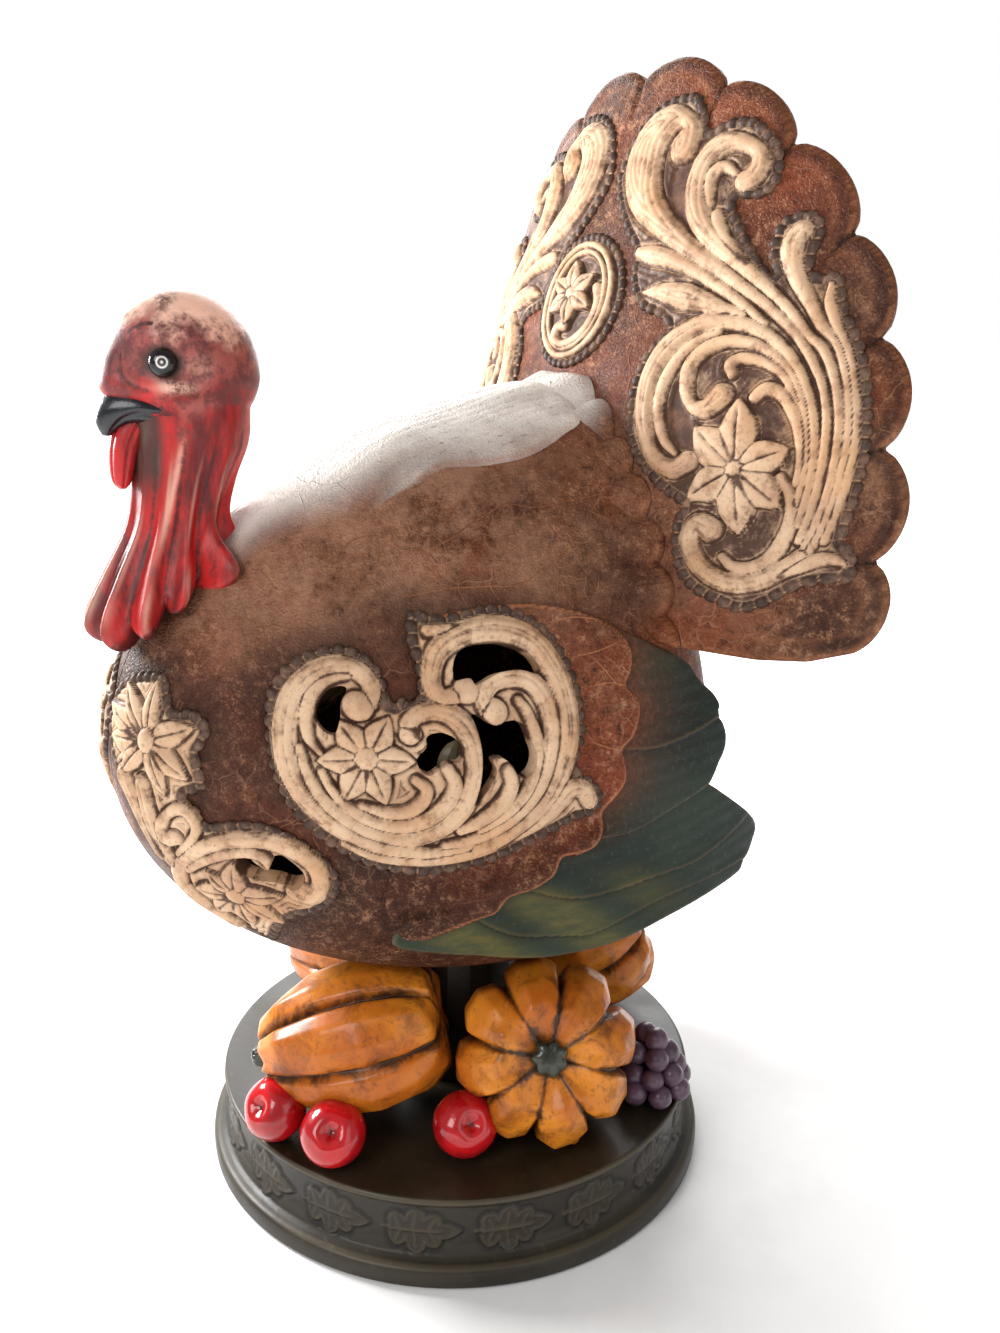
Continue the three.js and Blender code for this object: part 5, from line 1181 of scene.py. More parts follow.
FAN_BANDS = [
    [(36.3, 394.9, 6.8), (38, 399.6, 4.1), (33.2, 403.9, 3.2), (26.3, 403.8, 6.2), (19.7, 399.6, 8.8),
     (17.1, 393.1, 10.1), (19.1, 384.9, 9.3), (24.2, 377.1, 7.3), (33.5, 369.9, 5.3), (44.3, 363.4, 4.1),
     (53.8, 358.3, 3.3), (64.2, 352.8, 2.7), (73.8, 347.5, 2.3), (82.8, 342.3, 2), (90.8, 336.7, 1.9),
     (97.3, 331.2, 1.7), (102.7, 325.1, 1.7), (108.6, 316.3, 1.6), (112.3, 306.7, 1.6), (114.2, 297, 1.6),
     (115.3, 286.4, 1.6), (115.5, 276.5, 1.5), (114.8, 267.1, 1.6)],
    [(65.1, 381.1, 3.6), (68.5, 382.6, 4.1), (69.4, 387.1, 3.6), (65.7, 391.6, 2.8), (58.1, 394.2, 3.4),
     (51.4, 392.8, 4.7), (47.6, 387.8, 5.2), (46.9, 381.1, 5.3), (48.9, 374.5, 5.2), (53.4, 367.8, 4.6),
     (61.5, 361.1, 3.7), (70, 355.6, 3), (78.7, 349.8, 2.4), (87, 344.1, 2.1), (94.4, 337.9, 1.9),
     (100.4, 331.9, 1.8), (106, 327.3, 1.7), (111.4, 318.5, 1.7), (115.4, 308.2, 1.8), (117.4, 298.6, 1.7),
     (118.4, 288.8, 1.7), (118.6, 279.7, 1.7), (117.8, 271, 1.7), (116.7, 264.5, 1.6)],
    [(61.2, 383.6, 1.5), (56.6, 386, 2.4), (52.2, 384.3, 3.2), (52.2, 379, 2.7), (54.2, 374.2, 2)],
    [(58.5, 369.9, 2.8), (61.1, 365.1, 2.8), (67.7, 358.6, 2.5), (74.6, 353.3, 2.1)],
    [(89.7, 364.2, 3.8), (88.2, 359.8, 4.2), (90, 353.6, 3.4), (93.9, 347.5, 2.8), (98.8, 341.3, 2.3),
     (103.5, 334.7, 2), (109.1, 329.5, 1.6), (114.1, 320, 1.6), (117.6, 309.7, 1.6), (119.6, 300.1, 1.7),
     (120.5, 290.4, 1.7), (120.6, 280.6, 1.7), (119.8, 271.3, 1.7), (118, 263.9, 1.7)],
    [(103.1, 347.5, 1.2), (104.1, 341.9, 2), (107.6, 335.4, 1.9), (113.8, 325.5, 1.5), (117.6, 315.3, 1.5),
     (120.3, 305.7, 1.5), (122, 296.1, 1.5), (122.5, 286.4, 1.6), (122.3, 276.5, 1.6), (121.3, 267.9, 1.6)],
    [(28.4, 358.7, 2.5), (34.6, 357.9, 3.5), (43.7, 356.2, 3.2), (53.4, 353, 2.6), (62.7, 348.7, 2.3),
     (72.4, 343.8, 2), (80.1, 339.2, 1.7), (86.1, 335, 1.5)],
    [(35.7, 344.7, 1), (43.7, 345, 3.3), (53.6, 343.7, 4.7), (62.3, 341.7, 3.7), (71.2, 339.4, 2.4),
     (78.1, 337.7, 1.7)],
    [(73, 288.8, 4.2), (68.7, 286.2, 3.6), (60.1, 288.8, 3.1), (54.6, 296, 3.6), (50.7, 304.2, 4.2),
     (49.1, 314.9, 4.6), (52.1, 324.6, 4.7), (59.1, 331.5, 4.3), (68, 335.2, 3.6), (77.8, 335, 2.7),
     (87.8, 331.6, 2.2), (96.2, 325.6, 2), (102.6, 318.1, 1.8), (107.5, 309.2, 1.7), (110.6, 299.5, 1.7),
     (112.6, 289.8, 1.6), (113.3, 280.6, 1.6), (113, 272, 1.6)],
    [(68, 291, 1.3), (61.5, 295.8, 2.1), (56.6, 304.6, 2.4), (55.4, 313.7, 2.6), (58.5, 322.5, 2.5),
     (64.8, 329, 2), (71.6, 331.8, 1.3)],
    [(78.4, 311.1, 4.7), (74.8, 306.9, 3.7), (69.3, 307.3, 2.5), (65.3, 312.7, 2.9), (64.2, 320.1, 3.2),
     (68.4, 326, 3), (75.7, 329, 2.5), (84.3, 328.5, 2.1), (92.6, 324.8, 1.8), (99.5, 318.7, 1.6),
     (104.4, 311.1, 1.6), (107.5, 303.5, 1.5), (109.7, 295.2, 1.6), (111, 286.8, 1.5), (111.3, 278.2, 1.6)],
    [(80.4, 318.6, 2.2), (78.8, 321.4, 2.5), (81.6, 323.5, 2.3), (87.3, 323.3, 2.1), (93.7, 320.9, 1.8),
     (98.9, 316.5, 1.6), (102.9, 310.3, 1.5)],
    [(90, 311.4, 2.4), (92.9, 314.1, 2.7), (98.1, 312.6, 2.4), (102.7, 307.5, 2.2), (106.4, 300.6, 2),
     (108.9, 292.3, 1.8), (109.6, 285.2, 1.6)],
    [(87.9, 267.6, 4.3), (82.6, 269.6, 3.6), (81, 264.5, 3.6), (84.6, 258.1, 3.4), (91.3, 253.2, 3.5),
     (99.1, 251.4, 3.6), (106.8, 253.2, 3.4), (112.2, 257.4, 3.1), (116.5, 262.7, 2.6)],
    [(94, 259.4, 1.8), (98.3, 256.7, 2.1), (104.1, 257.2, 2.6), (108.6, 261.3, 2.8), (110.6, 268.1, 2.6),
     (110.8, 274.6, 2.3), (108.6, 281.2, 1.9), (104.5, 286.9, 1.6)],
    [(128.4, 260.9, 1), (126.1, 262.4, 2), (122.1, 262.2, 2.5), (117.3, 259.5, 2.5), (112, 256.1, 2.2)]]
FAN_FLOWER = ((90.3, 287.8), [
    (85.4, 310.8), (105.3, 295.9), (107.1, 277.1), (97.6, 266.9), (77.3, 276.8), (72.7, 300.4)])


def fan_forms(X, Z):
    forms = [band(X, Z, rows, top=3.0, base=1.2, per=4) for rows in FAN_BANDS]
    return forms + flower(X, Z, *FAN_FLOWER, wide=6.4, heart=4.2, top=2.4, base=2.0, full=0.9)


FAN_SCROLLS = Panel(FAN_PANEL, fan_forms, wide=3.8, high=0.4, ground=0.4, bead=1.4, hollow=0.8,
                    leaves=FAN_LEAVES)
panel = plate(Shape(), np.arange(1.5, 133.5, 0.54), np.arange(241, 415, 0.54),
              FAN_SCROLLS.cut, fan_front, FAN_SCROLLS.relief, 0.06)
build_pair("fan_panel", panel, CREAM)

# The medallion, and the oval that its ornament is laid out on.
MEDAL_X, MEDAL_Z, MEDAL_WIDE, MEDAL_TALL = -4.0, 342.3, 28.0, 25.2
OVAL_WIDE, OVAL_TALL = 22, 27.5
MEDAL_TURN = full_turn(120)
MEDAL_RING = np.column_stack([MEDAL_X + MEDAL_WIDE * np.cos(MEDAL_TURN),
                              MEDAL_Z + MEDAL_TALL * np.sin(MEDAL_TURN)])
MEDAL_CURL = widen([(10.5, 5), (12.4, -1), (11, -9), (6, -15.5), (-1, -18), (-6, -15.5), (-5.5, -11),
                    (-1.5, -10.5)], [2.4, 1.8, 2.0, 2.2, 2.0, 2.4])
MEDAL_HEART, PETAL_TURNS = (-2, 2.6), np.radians([95, 35, -25, -85, -145, 155])


def medal_forms(X, Z):
    U, V = (X - MEDAL_X) * OVAL_WIDE / MEDAL_WIDE, (Z - MEDAL_Z) * OVAL_TALL / MEDAL_TALL
    forms = []
    for inset, wide in ((5.0, 1.6), (7.9, 1.3)):
        rows = [((OVAL_WIDE - inset) * math.cos(t), (OVAL_TALL - inset) * math.sin(t), wide)
                for t in MEDAL_TURN[::4]]
        forms.append(band(U, V, rows + rows[:1], top=1.6, base=1.0, per=3))
    forms.append(band(U, V, MEDAL_CURL, top=1.8))
    x, z = MEDAL_HEART
    tips = [(x + 12.5 * math.cos(t), z + 13.5 * math.sin(t)) for t in PETAL_TURNS]
    return forms + flower(U, V, MEDAL_HEART, tips, wide=4.2, heart=3.2, top=2.0, base=1.8)


MEDAL = Panel(MEDAL_RING, medal_forms, wide=3.4, high=0.4, ground=0.3, bead=1.3, pitch=4.4,
              inner=(-3.2, -3.7), raised=0.5, hollow=0.8)
medal = plate(Shape(), np.arange(-33, 25, 0.45), np.arange(315, 370, 0.45),
              MEDAL.cut, fan_front, MEDAL.relief, 0.06)
build("fan_medallion_look", medal, CREAM, ["fan_medallion"])


# Neck with its wattles, head, beak, snood and eyes.

NECK = curve([
    (218.0, -110.0, 30.5, 27.5), (221.9, -110.0, 30.5, 27.5), (235.8, -113.0, 27.0, 25.5),
    (252.2, -111.2, 21.5, 20.8), (267.8, -108.4, 17.4, 16.0), (281.8, -105.2, 16.2, 16.7),
    (294.0, -102.2, 16.6, 19.2), (304.1, -101.8, 17.2, 20.0), (308.0, -101.8, 16.5, 19.3)], 12)
NECK_TOP = 307.0
LOBES = np.radians([-270, -246, -207, -176, -147, -116, -90, -64, -33, -4, 27, 66, 90])
LOBE_ENDS = np.array([258, 254, 247.5, 242, 233.5, 228, 229, 228, 233.5, 242, 247.5, 254, 258])


def neck():
    a = np.linspace(-1.5 * np.pi, 0.5 * np.pi, 300, endpoint=False)
    lobe = np.interp(a, LOBES, np.arange(len(LOBES)))
    u = lobe - np.round(lobe)
    low = np.interp(a, LOBES, LOBE_ENDS) + 8.0 * (1 - dome(np.abs(u) * 1.9))
    t = np.linspace(0, 1, 120)[:, None]
    z = NECK_TOP + (low - NECK_TOP) * t
    middle, half_x, half_y = (np.interp(z, NECK[:, 0], NECK[:, k]) for k in (1, 2, 3))
    depth = 0.5 + 2.8 * smooth(0.2, 0.95, t)
    wave = np.cos(2 * np.pi * u) + 0.3 * np.cos(4 * np.pi * u + 0.8 * np.sin(7 * t + 3 * a))
    turn = np.abs(a + np.pi / 2)
    swell = 1.2 + 9.0 * smooth(1.5, 2.0, turn) * smooth(2.9, 2.35, turn)
    out = depth * (0.5 * wave - 0.2) + swell * bell(t - 0.86, 0.13) * np.cos(np.pi * u) ** 2
    under = np.where(t > 0.9, 7.5 * (1 - dome((t - 0.9) / 0.1)), 0)
    out = out * smooth(0.04, 0.18, t) - under
    points = np.stack([(half_x + out) * np.cos(a), middle + (half_y + out) * np.sin(a), z], -1)
    streak = 0.5 + 0.5 * np.sin(11 * t + 9 * a + 2 * np.sin(5 * a))
    # ink: painted shade in the valleys between the folds and on the underside of the lobes' ends, with thin
    # dark strokes beside the valleys.
    valley = smooth(0.28, 0.5, np.abs(u)) ** 1.5 * smooth(0.04, 0.3, t)
    ink = np.maximum(valley * (0.62 + 0.36 * streak), smooth(0.94, 1.0, t) * 0.9)
    ink = np.maximum(ink, 0.5 * bell(np.abs(u) - 0.25, 0.05) * smooth(0.1, 0.4, t) * streak)
    # lift: painted highlights along the folds, at the lobes' ends and in a broad streak down the neck, where
    # shine is the streak's share.
    shine = smooth(0.08, 0.24, t) * smooth(0.85, 0.5, t) * (1 - 0.5 * streak)
    lift = 0.32 * bell(u - 0.08, 0.06) * smooth(0.1, 0.3, t) * (1 - streak)
    lift = lift + 0.2 * bell(t - 0.84, 0.06) * bell(u - 0.08, 0.1)
    lift = lift + 0.6 * bell(turn - 1.25 + 0.35 * t, 0.07) * shine
    # dark: painted shade on the throat, between the snood and the neck.
    throat = smooth(1.0, 0.74, turn) * smooth(270, 288, z)
    return tube(Shape(), points, ink=ink, lift=np.clip(lift, 0, 0.9) * (1 - throat), dark=0.9 * throat)


build("neck_wattles_look", neck(), SKIN, ["neck_wattles"])

HEAD, HEAD_HALF, HEAD_LOW = np.array([0.0, -103.0, 317.9]), np.array([20.6, 24.5, 25.0]), 301.0
EYE_AT, EYE_RADIUS, EYE_RISE, EYE_SUNK = np.array([17.9, -114.4, 320.8]), 4.5, 3.6, 1.4


def head():
    a = full_turn(144)
    lat = np.linspace(math.asin((HEAD_LOW - HEAD[2]) / HEAD_HALF[2]), math.radians(88.5), 94)[:, None]
    P = np.stack([np.cos(a) * np.cos(lat), np.sin(a) * np.cos(lat), np.sin(lat) + 0 * a], -1)
    N = unit(P / HEAD_HALF)
    P = HEAD + P * HEAD_HALF
    share = smooth(304.1, 316, P[..., 2])
    tuck = 1 - 0.04 * smooth(304.1, HEAD_LOW, P[..., 2])
    P[..., 0] = np.cos(a) * 17.2 * tuck * (1 - share) + P[..., 0] * share
    P[..., 1] = (-101.8 + np.sin(a) * 20.0 * tuck) * (1 - share) + P[..., 1] * share
    keep = smooth(304.5, 309, P[..., 2])
    mirrored = np.stack([np.abs(P[..., 0]), P[..., 1], P[..., 2]], -1)

    def spot(at, wide, size):
        """A soft round spot, the same on both sides."""
        return size * np.exp(-(np.linalg.norm((mirrored - at) / wide, axis=-1) ** 2))

    def near(rows):
        line = curve(rows, 6)
        return np.min(np.linalg.norm(mirrored[..., None, :] - line, axis=-1), -1)

    fold = near([(8.2, -124.6, 322.5), (9.4, -124.4, 317), (12.4, -121.4, 313.4), (14.9, -118, 311.5)])
    brow = near([(9.3, -121.6, 329.6), (11.1, -118.4, 331.9), (13.2, -115.6, 332.2)])
    move = spot((18.2, -114.4, 321), (6.2, 7, 5.6), -2.8) + spot((16, -114, 329.6), (7, 9, 3.0), 1.2)
    move = move + spot((17.5, -110.5, 312.5), (6, 7, 3), 1.6) + spot((20, -99, 318), (6, 6, 6), 0.8)
    move = move + spot((0, -127, 317), (9, 8, 7), 2.0) + spot((0, -124, 311.4), (13, 8, 4.2), 3.2)
    move = move + spot((0, -82, 310), (14, 8, 6), 1.4) - 0.9 * bell(fold, 1.4)
    P = P + N * (move * keep)[..., None]
    face = smooth(-112, -128, P[..., 1]) * keep
    P[..., 0] *= 1 - 0.22 * face
    eye = np.linalg.norm((mirrored - EYE_AT) / (8.2, 8.2, 6.8), axis=-1)
    socket = smooth(1.0, 0.55, eye) * 0.9
    ink = np.maximum(0.75 * smooth(1.7, 0.4, fold), 0.8 * smooth(1.5, 0.4, brow))
    ink = np.maximum(ink, spot((6, -127, 320.6), (2.4, 3, 2.4), 0.6))
    ink = np.maximum(ink, spot((13, -120.5, 317), (3.5, 4, 4), 0.45))
    # A painted shadow at the corner of the jaw under the beak.
    ink = np.maximum(ink, spot((14.8, -115.5, 305), (5, 6, 4.2), 0.9))
    # lift: painted highlights on the cheek and over the top of the head, and a paler patch behind the eye.
    lift = np.maximum(spot((18.5, -110.8, 313.4), (5, 5, 1.5), 0.9), 0.7 * smooth(331, 342, P[..., 2]))
    lift = np.maximum(lift, spot((20, -103.5, 319.5), (6, 4.5, 3.4), 0.25))
    return tube(Shape(), P, ink=ink, lift=lift, dark=socket)


build("head_look", head(), SKIN, ["head"])


def eye():
    a = full_turn(48)
    aim, side, up = axes_of((0.93, -0.34, 0.1))
    rings, marks = [], []
    for t in np.linspace(math.pi * 0.97, 0.03, 44):
        radius, rise = EYE_RADIUS * math.sin(t), EYE_RISE * math.cos(t)
        rings.append(EYE_AT + aim * (rise - EYE_SUNK) + radius * around(a, side, up))
        white = max(bell(radius - 1.6, 0.24), bell(radius, 0.42))
        marks.append(np.full(len(a), white if rise > 0 else 0.0))
    return tube(Shape(), rings, ring=np.array(marks))


build_pair("eye", eye(), EYE)


def beak():
    a = full_turn(64)
    rows = curve([
        (-110.5, 305.6, 14.6, 6.0, 0.0), (-115.6, 306.0, 13.2, 7.0, 0.1), (-121.2, 306.4, 10.6, 7.0, 0.35),
        (-125.8, 304.4, 7.4, 6.0, 0.8), (-128.4, 300.8, 4.2, 4.0, 1.2), (-129.2, 297.4, 1.1, 1.2, 1.5)], 7)
    narrow = 1 - 0.22 * np.clip(np.sin(a), 0, 1)
    pinch = 1 - 0.10 * bell(np.sin(a) + 0.25, 0.12)
    rings = []
    for y, z, wide, tall, lean in rows:
        up = np.sin(a) * tall
        x = np.cos(a) * wide * narrow * pinch
        rings.append(np.stack([x, y - up * math.sin(lean), z + up * math.cos(lean)], -1))
    return tube(Shape(), rings)


build("beak_look", beak(), BEAK, ["beak"])


def snood():
    a = full_turn(56)
    rows = curve([
        (-117.0, 305.0, 5.6, 5.4), (-121.0, 300.0, 6.6, 5.6), (-123.6, 294.0, 6.0, 4.8),
        (-124.8, 287.5, 5.0, 4.0), (-125.2, 282.5, 3.6, 3.0), (-125.2, 280.2, 1.4, 1.2)], 8)
    fold = 1 - 0.16 * bell(np.sin(a * 2.5), 0.3)
    x, out = np.cos(a) * fold, np.sin(a) * fold
    rings = [np.stack([x * wide, y + out * deep, np.full(len(a), z)], -1) for y, z, wide, deep in rows]
    return tube(Shape(), rings, ink=0.6 * bell(np.sin(a * 2.5), 0.25))


build("snood_look", snood(), SKIN, ["snood"])


# Fruit. Each rib is given by places across it, their share of the radius over the groove and their ink.

RIB_PLACES = np.array([0.0, 0.10, 0.34, 0.66, 0.90])
RIB_RADII = np.array([0.0, 0.62, 0.97, 0.97, 0.62])
RIB_INK = [0.95, 0.34, 0.0, 0.0, 0.34]


def ribbed(centre, axis, radius, half, ribs, depth, taper, dimple, rows, turn):
    """A carved pumpkin or gourd: each rib is cut in flat facets."""
    along_axis, side, up = axes_of(axis)
    places = (np.arange(ribs)[:, None] + RIB_PLACES).ravel() / ribs * 2 * np.pi + turn
    out = 1 - depth * (1 - np.tile(RIB_RADII, ribs))
    groove = np.tile(RIB_RADII == 0, ribs)
    spin = around(places, side, up)
    cuts = np.random.default_rng(ribs * 31 + rows + int(centre[0]))
    rings, ink = [], []
    for t in np.linspace(0.05, 0.95, rows) * math.pi:
        ring, rise = math.sin(t), math.cos(t)
        rise *= 1 - dimple * math.exp(-ring * ring * 7)
        carved = np.where(groove, 1 - depth * (0.6 + 0.4 * ring), out)
        r = radius * (1 - taper * rise) * ring ** 0.85 * carved
        r = r * (1 + 0.032 * cuts.uniform(-1, 1, len(r)))
        shift = half * rise + np.where(groove, 0, 3.0) * ring * cuts.uniform(-1, 1, len(r))
        rings.append(centre + shift[:, None] * along_axis + r[:, None] * spin)
        ink.append(np.tile(RIB_INK, ribs) + 0.5 * math.exp(-ring * ring * 10))
    return tube(Shape(), rings, soft=False, ink=np.clip(np.array(ink), 0, 1))


def softened(obj, crease):
    """Rounds the carved facets, keeps some of their edges and keeps the result as the piece's mesh."""
    edges = obj.data.attributes.new("crease_edge", "FLOAT", "EDGE")
    edges.data.foreach_set("value", np.full(len(obj.data.edges), crease))
    rounding = obj.modifiers.new("soft_edges", "SUBSURF")
    rounding.levels = rounding.render_levels = 3
    graph = bpy.context.evaluated_depsgraph_get()
    mesh = bpy.data.meshes.new_from_object(obj.evaluated_get(graph))
    obj.modifiers.clear()
    obj.data = mesh
    mesh.polygons.foreach_set("use_smooth", np.ones(len(mesh.polygons), bool))
    mesh.update()


STEM_LENGTH, STEM_SUNK = 9, 2
STEM_ROWS = curve([
    (0, 1.25, 0), (0.3, 1.0, 0), (0.6, 0.92, 0.05), (0.8, 0.84, 0.12), (0.93, 0.62, 0.18), (0.99, 0.34, 0.2),
    (1.0, 0.08, 0.2)], 5)


def stem(centre, axis, foot, radius):
    along_axis, side, up = axes_of(axis)
    a = full_turn(36)
    ribs = (1 + 0.09 * np.cos(7 * a))[:, None] * around(a, side, up)
    rings = []
    for reach, wide, bend in STEM_ROWS:
        middle = centre + along_axis * (foot + reach * STEM_LENGTH) + up * bend * radius
        rings.append(middle + radius * wide * ribs)
    return tube(Shape(), rings, ink=0.7 * smooth(-0.4, -0.9, np.cos(7 * a)))


DECK_Z = 33.9  # fruit is cut flat just over the plinth's deck
CREASE = 0.42  # how far the carved edges stay sharp
# Centre, axis, radius, half length, ribs, groove depth, taper, dimple, rows of cuts, turn and stem radius.
FRUIT = {
    "pumpkin_front": ((63, 5, 65), (0.8, -0.42, 0.42), 36, 29, 8, 0.24, 0.0, 0.34, 9, 0.2, 7.2),
    "pumpkin_rear": ((0, 66, 66), (0.25, 0.8, 0.5), 33, 29, 8, 0.2, 0.0, 0.32, 10, 0.0, 5.2),
    "pumpkin_far": ((-60, 32, 64), (-0.75, 0.3, 0.55), 32, 28, 8, 0.2, 0.0, 0.32, 10, 0.1, 5.2),
    "gourd_near": ((22, -57, 67), (-0.5, -0.86, -0.28), 30, 41, 6, 0.24, 0.16, 0.16, 8, 0.0, 4.2),
    "gourd_far": ((-47, -29, 62), (-0.85, -0.45, -0.15), 25, 33, 6, 0.22, 0.16, 0.16, 8, 0.0, 3.6)}
for name, (centre, axis, radius, half, ribs, depth, taper, dimple, rows, turn, thick) in FRUIT.items():
    centre = np.array(centre, float)
    shape = ribbed(centre, axis, radius, half, ribs, depth, taper, dimple, rows, turn)
    shape.points[:, 2] = np.maximum(shape.points[:, 2], DECK_Z)
    softened(build(f"{name}_look", shape, ORANGE, [name]), CREASE)
    shape = stem(centre, axis, half * (1 - dimple) - STEM_SUNK, thick)
    build(f"{name}_stem_look", shape, STEM, [f"{name}_stem"])


APPLE_RADIUS, APPLE_HALF = 12.2, 11.2


def apple(centre, axis):
    a = full_turn(56)
    along_axis, side, up = axes_of(axis)
    spin, five = around(a, side, up), np.cos(5 * a)
    rings, ink = [], []
    for t in np.linspace(0.02, math.pi - 0.02, 44):
        ring, rise = math.sin(t), math.cos(t)
        pit = 0.3 * bell(ring, 0.28) if rise > 0 else 0.16 * bell(ring, 0.3)
        r = APPLE_RADIUS * ring * (1 + 0.05 * rise) * (1 + 0.03 * five * rise)
        rings.append(centre + along_axis * APPLE_HALF * rise * (1 - pit) + r[:, None] * spin)
        ink.append(0.85 * bell(ring, 0.09) + 0.25 * bell(ring, 0.3) * (0.5 + 0.5 * five))
    return tube(Shape(), rings, ink=np.array(ink))


APPLES = {
    "apple_near_1": ((46, -76, 45.6), (0.7, -0.36, 0.62)),
    "apple_near_2": ((22, -89.5, 45.6), (0.3, -0.8, 0.5)),
    "apple_near_3": ((64.5, -31, 45.6), (0.75, -0.1, 0.5)),
    "apple_far": ((-84, -16, 45.6), (-0.6, -0.3, 0.6))}
for name, (centre, axis) in APPLES.items():
    build(f"{name}_look", apple(np.array(centre), axis), APPLE, [name])

GRAPE_RADIUS, GRAPE_FOOT = 5.0, 34
GRAPE_LAYERS = ((0.5, 12.5, 8), (4, 6, 4), (8.5, 10, 7), (16, 7, 5), (22, 2.5, 2))  # height, radius, count


def grapes(centre):
    a = full_turn(18)
    shape = Shape()
    rng = np.random.default_rng(7)
    for height, ring, count in GRAPE_LAYERS:
        for i in range(count):
            turn = i * 2 * math.pi / count + height
            middle = np.array(centre) + (ring * math.cos(turn), ring * math.sin(turn), height)
            middle = middle + rng.uniform(-0.7, 0.7, 3)
            size = GRAPE_RADIUS + rng.uniform(-0.4, 0.4)
            middle[2] = max(middle[2], GRAPE_FOOT + size)
            t = np.linspace(0.12, math.pi - 0.12, 11)[:, None]
            ball_rings = np.stack([np.cos(a) * np.sin(t), np.sin(a) * np.sin(t), -np.cos(t) + 0 * a], -1)
            tube(shape, middle + size * ball_rings)
    return shape


for name, centre in (("grapes_near", (67, 53, 36.5)), ("grapes_far", (-42, 73, 36.5))):
    build(f"{name}_look", grapes(centre), GRAPE, [name])


# The plinth with its band of leaves.

LEAF_SIDE = [
    (-9.2, 0.9), (-9.4, 4.2), (-7.6, 6.6), (-5.2, 5.6), (-4.4, 3.6), (-3.8, 6.4), (-1.6, 8.8),
    (1.0, 7.4), (1.3, 4.2), (2.6, 6.2), (5.0, 6.4), (6.2, 4.4), (5.7, 3.0), (8.4, 2.7), (10.8, 1.0)]
LEAF = curve(LEAF_SIDE + [(12.0, 0.0)] + [(x, -y) for x, y in LEAF_SIDE[::-1]], 3, closed=True) * (1.2, 1.0)
LEAF_COUNT, BAND_RADIUS, BAND_Z, PLINTH_COLUMNS = 18, 97.0, 19.4, 880


def leaf_relief(S, Z):
    """Rise and pale line of one leaf, by arc and height from its middle."""
    d = signed(S, Z, LEAF)
    inside = smooth(0.6, -0.8, d)
    vein = bell(Z, 0.55) * smooth(-15, -14, S) * smooth(9, 6, S)
    for root, tip in (((-7.2, 0), (-9.1, 5)), ((-2.6, 0), (-1.7, 7)), ((2.9, 0), (5.5, 5))):
        for sign in (1, -1):
            off, _, _ = along(S, Z, np.array([root, (tip[0], sign * tip[1])], float))
            vein = np.maximum(vein, bell(off, 0.42) * 0.8)
    line = bell(d, 0.55)
    stalk = vein * ((d < 0.5) | (S < -9))
    rise = 0.15 * inside + 0.6 * stalk + 0.6 * line - 0.4 * bell(d - 1.3, 0.7)
    return rise, np.maximum(0.6 * line, stalk)


def plinth():
    low = curve([(101.6, 0.0), (103.6, 0.5), (104.0, 2.0), (104.0, 5.4), (103.5, 7.2), (102.3, 8.2),
                 (100.2, 8.9), (98.4, 9.9)], 3)
    level = np.linspace(10.6, 29.6, 30)
    strip = np.column_stack([BAND_RADIUS + bell(level - level[0], 2.0), level])
    high = curve([(97.3, 30.2), (98.2, 30.9), (98.6, 31.9), (98.4, 32.9), (97.6, 33.5), (96.2, 33.6),
                  (90, 33.6), (70, 33.6), (40, 33.6), (9.2, 33.6)], 3)
    inner = np.array([(9.0, 33.5), (9.0, 29.2), (60, 29.2), (84, 29.2), (84, 3.2), (88, 3.2), (88, 0.1),
                      (95, 0.0)], float)
    profile = np.vstack([low, strip, high, inner])
    turn = full_turn(PLINTH_COLUMNS)
    arc = (turn / (2 * np.pi) * LEAF_COUNT + 0.28) % 1 - 0.5
    radius, z = (profile[:, k:k + 1] + 0 * turn for k in (0, 1))
    ink, line = np.zeros(radius.shape), np.zeros(radius.shape)
    first, last = len(low), len(low) + len(strip)
    Z = strip[:, 1:] - BAND_Z + 0 * turn
    S = arc * 2 * np.pi * BAND_RADIUS / LEAF_COUNT + 0 * Z
    rise, mark = (part.reshape(Z.shape) for part in leaf_relief(S.ravel(), Z.ravel()))
    radius[first:last] += rise
    line[first:last] = mark * 0.34
    ink[first:last] = smooth(0.1, -0.25, rise) * 0.8
    line[first - 9:first - 5] = 0.3
    line[last + 6:last + 12] = 0.35
    points = np.stack([radius * np.cos(turn), radius * np.sin(turn), z], -1).reshape(-1, 3)
    index = np.arange(radius.size).reshape(radius.shape)
    quads = ring_quads(index, np.roll(index, -1, 0))
    if volume(points, quads, np.zeros((0, 3), int)) < 0:
        quads = quads[:, ::-1]
    return Shape().add(points, [(quads, True)], ink=ink.ravel(), line=line.ravel())


build("base_plinth_look", plinth(), PLINTH, ["base_plinth"])


# The solids that stay get their materials.

KEPT = [
    (PLINTH, ["base_plate", "pedestal"]),
    (PLASTIC, ["battery_tray", "battery_cover", "switch_body", "switch_slider", "lamp_post"]),
    (CELL, ["battery_cell_1", "battery_cell_2", "battery_cell_3"]),
    (STEEL, ["plate_screw_1", "plate_screw_2", "plate_screw_3", "plate_screw_4", "battery_contact_left",
             "battery_contact_right"]),
    (LAMP, ["lamp_led"]),
    (LEAD, ["lamp_lead"])]
for material, names in KEPT:
    for name in names:
        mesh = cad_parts[name].data
        mesh.materials.clear()
        mesh.materials.append(material)


# Camera, light and floor. The camera was fitted to the photograph in a frame turned by TURN.

TURN = math.radians(62)
PHOTO_TALL, PHOTO_FOCAL, SENSOR = 1333, 1200, 36  # two in pixels, the sensor in mm


def from_fit(x, y, z):
    cos, sin = math.cos(TURN), math.sin(TURN)
    return Vector((x * cos - y * sin, x * sin + y * cos, z))


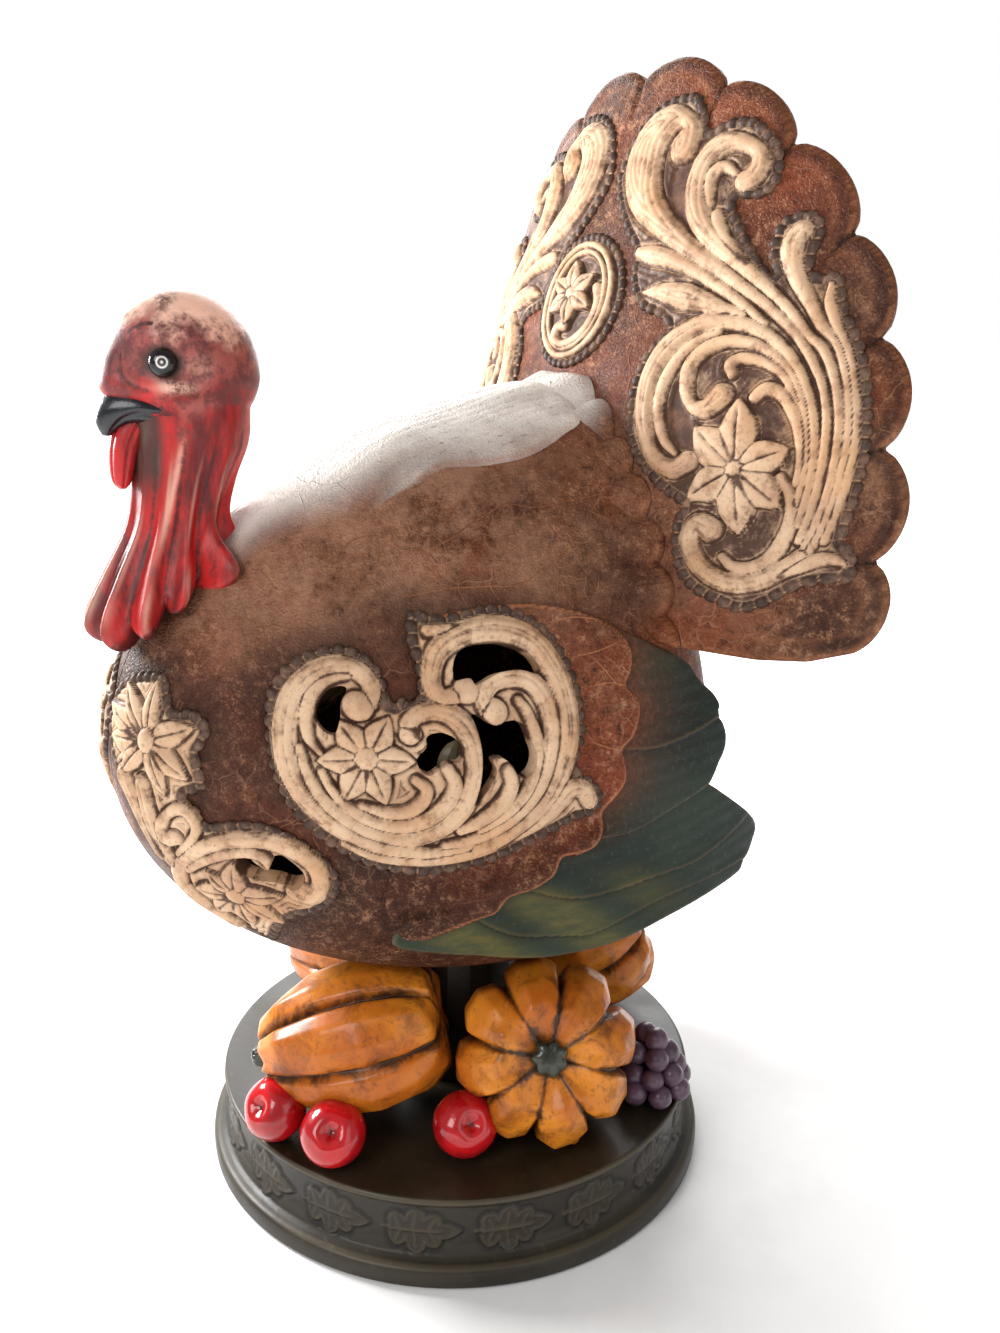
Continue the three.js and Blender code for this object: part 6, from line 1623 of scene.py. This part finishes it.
right, up, ahead = (from_fit(*axis) for axis in (
    (0.9994, -0.0303, 0.0158), (-0.0067, 0.2795, 0.9601), (0.0335, 0.9597, -0.2791)))
facing = Matrix((right, up, -ahead)).transposed().to_4x4()
camera = bpy.data.objects.new("camera", bpy.data.cameras.new("camera"))
bpy.context.scene.collection.objects.link(camera)
camera.matrix_world = Matrix.Translation((0.4022, -0.2138, 0.3358)) @ facing
camera.data.sensor_width = SENSOR
camera.data.lens = SENSOR * PHOTO_FOCAL / PHOTO_TALL
camera.data.clip_start, camera.data.clip_end = 0.01, 50
bpy.context.scene.camera = camera


def light(name, place, aim, wide, tall, power):
    lamp = bpy.data.lights.new(name, "AREA")
    lamp.shape, lamp.size, lamp.size_y, lamp.energy = "RECTANGLE", wide, tall, power
    obj = bpy.data.objects.new(name, lamp)
    facing = (Vector(aim) - Vector(place)).to_track_quat("-Z", "Y").to_matrix().to_4x4()
    obj.matrix_world = Matrix.Translation(place) @ facing
    obj.visible_camera = False
    bpy.context.scene.collection.objects.link(obj)


light("window", (-1.2, 0.5, 0.8), (0, 0, 0.28), 1.6, 1.0, 28)
light("far_side", (-0.42, -0.36, 0.4), (-0.08, 0.04, 0.37), 0.2, 0.2, 8)
light("key", (0.5, -1.25, 1.0), (0, 0, 0.22), 0.7, 0.7, 11)
light("fill", (1.4, 0.3, 0.6), (0, 0, 0.2), 0.9, 0.9, 3)

# The background is white to the camera and dimmer as light.
world = bpy.data.worlds.new("studio")
world.use_nodes = True
nodes, links = world.node_tree.nodes, world.node_tree.links
dim, seen = nodes["Background"], nodes.new("ShaderNodeBackground")
for node, strength in ((dim, 0.38), (seen, 1.0)):
    node.inputs["Color"].default_value = (1, 1, 1, 1)
    node.inputs["Strength"].default_value = strength
path, choice = nodes.new("ShaderNodeLightPath"), nodes.new("ShaderNodeMixShader")
links.new(path.outputs["Is Camera Ray"], choice.inputs[0])
links.new(dim.outputs[0], choice.inputs[1])
links.new(seen.outputs[0], choice.inputs[2])
links.new(choice.outputs[0], nodes["World Output"].inputs["Surface"])
bpy.context.scene.world = world
bpy.context.scene.view_settings.view_transform = "Standard"

FLOOR_HALF, FLOOR_Z = 6, -0.0003  # m


def floor():
    """A pale floor that glows white away from the figure."""
    k = Look("pale_floor", 0.6)
    grain = k.noise(40, 4)
    k.bump(grain, 0.0002, 0.2)
    far = k.nodes.new("ShaderNodeVectorMath")
    far.operation = "LENGTH"
    k.put(far.inputs[0], k.place)
    k.shader.inputs["Emission Color"].default_value = (1, 1, 1, 1)
    k.put(k.shader.inputs["Emission Strength"], k.ramp(far.outputs["Value"], 0.12, 0.5))
    k.colour = k.shades(k.ramp(grain, 0.3, 0.7), (248, 247, 246), (243, 242, 241))
    corners = ((-1, -1), (1, -1), (1, 1), (-1, 1))
    mesh = bpy.data.meshes.new("floor")
    mesh.from_pydata([(x * FLOOR_HALF, y * FLOOR_HALF, FLOOR_Z) for x, y in corners], [], [(0, 1, 2, 3)])
    mesh.materials.append(k.paint())
    obj = bpy.data.objects.new("floor", mesh)
    bpy.context.scene.collection.objects.link(obj)


floor()
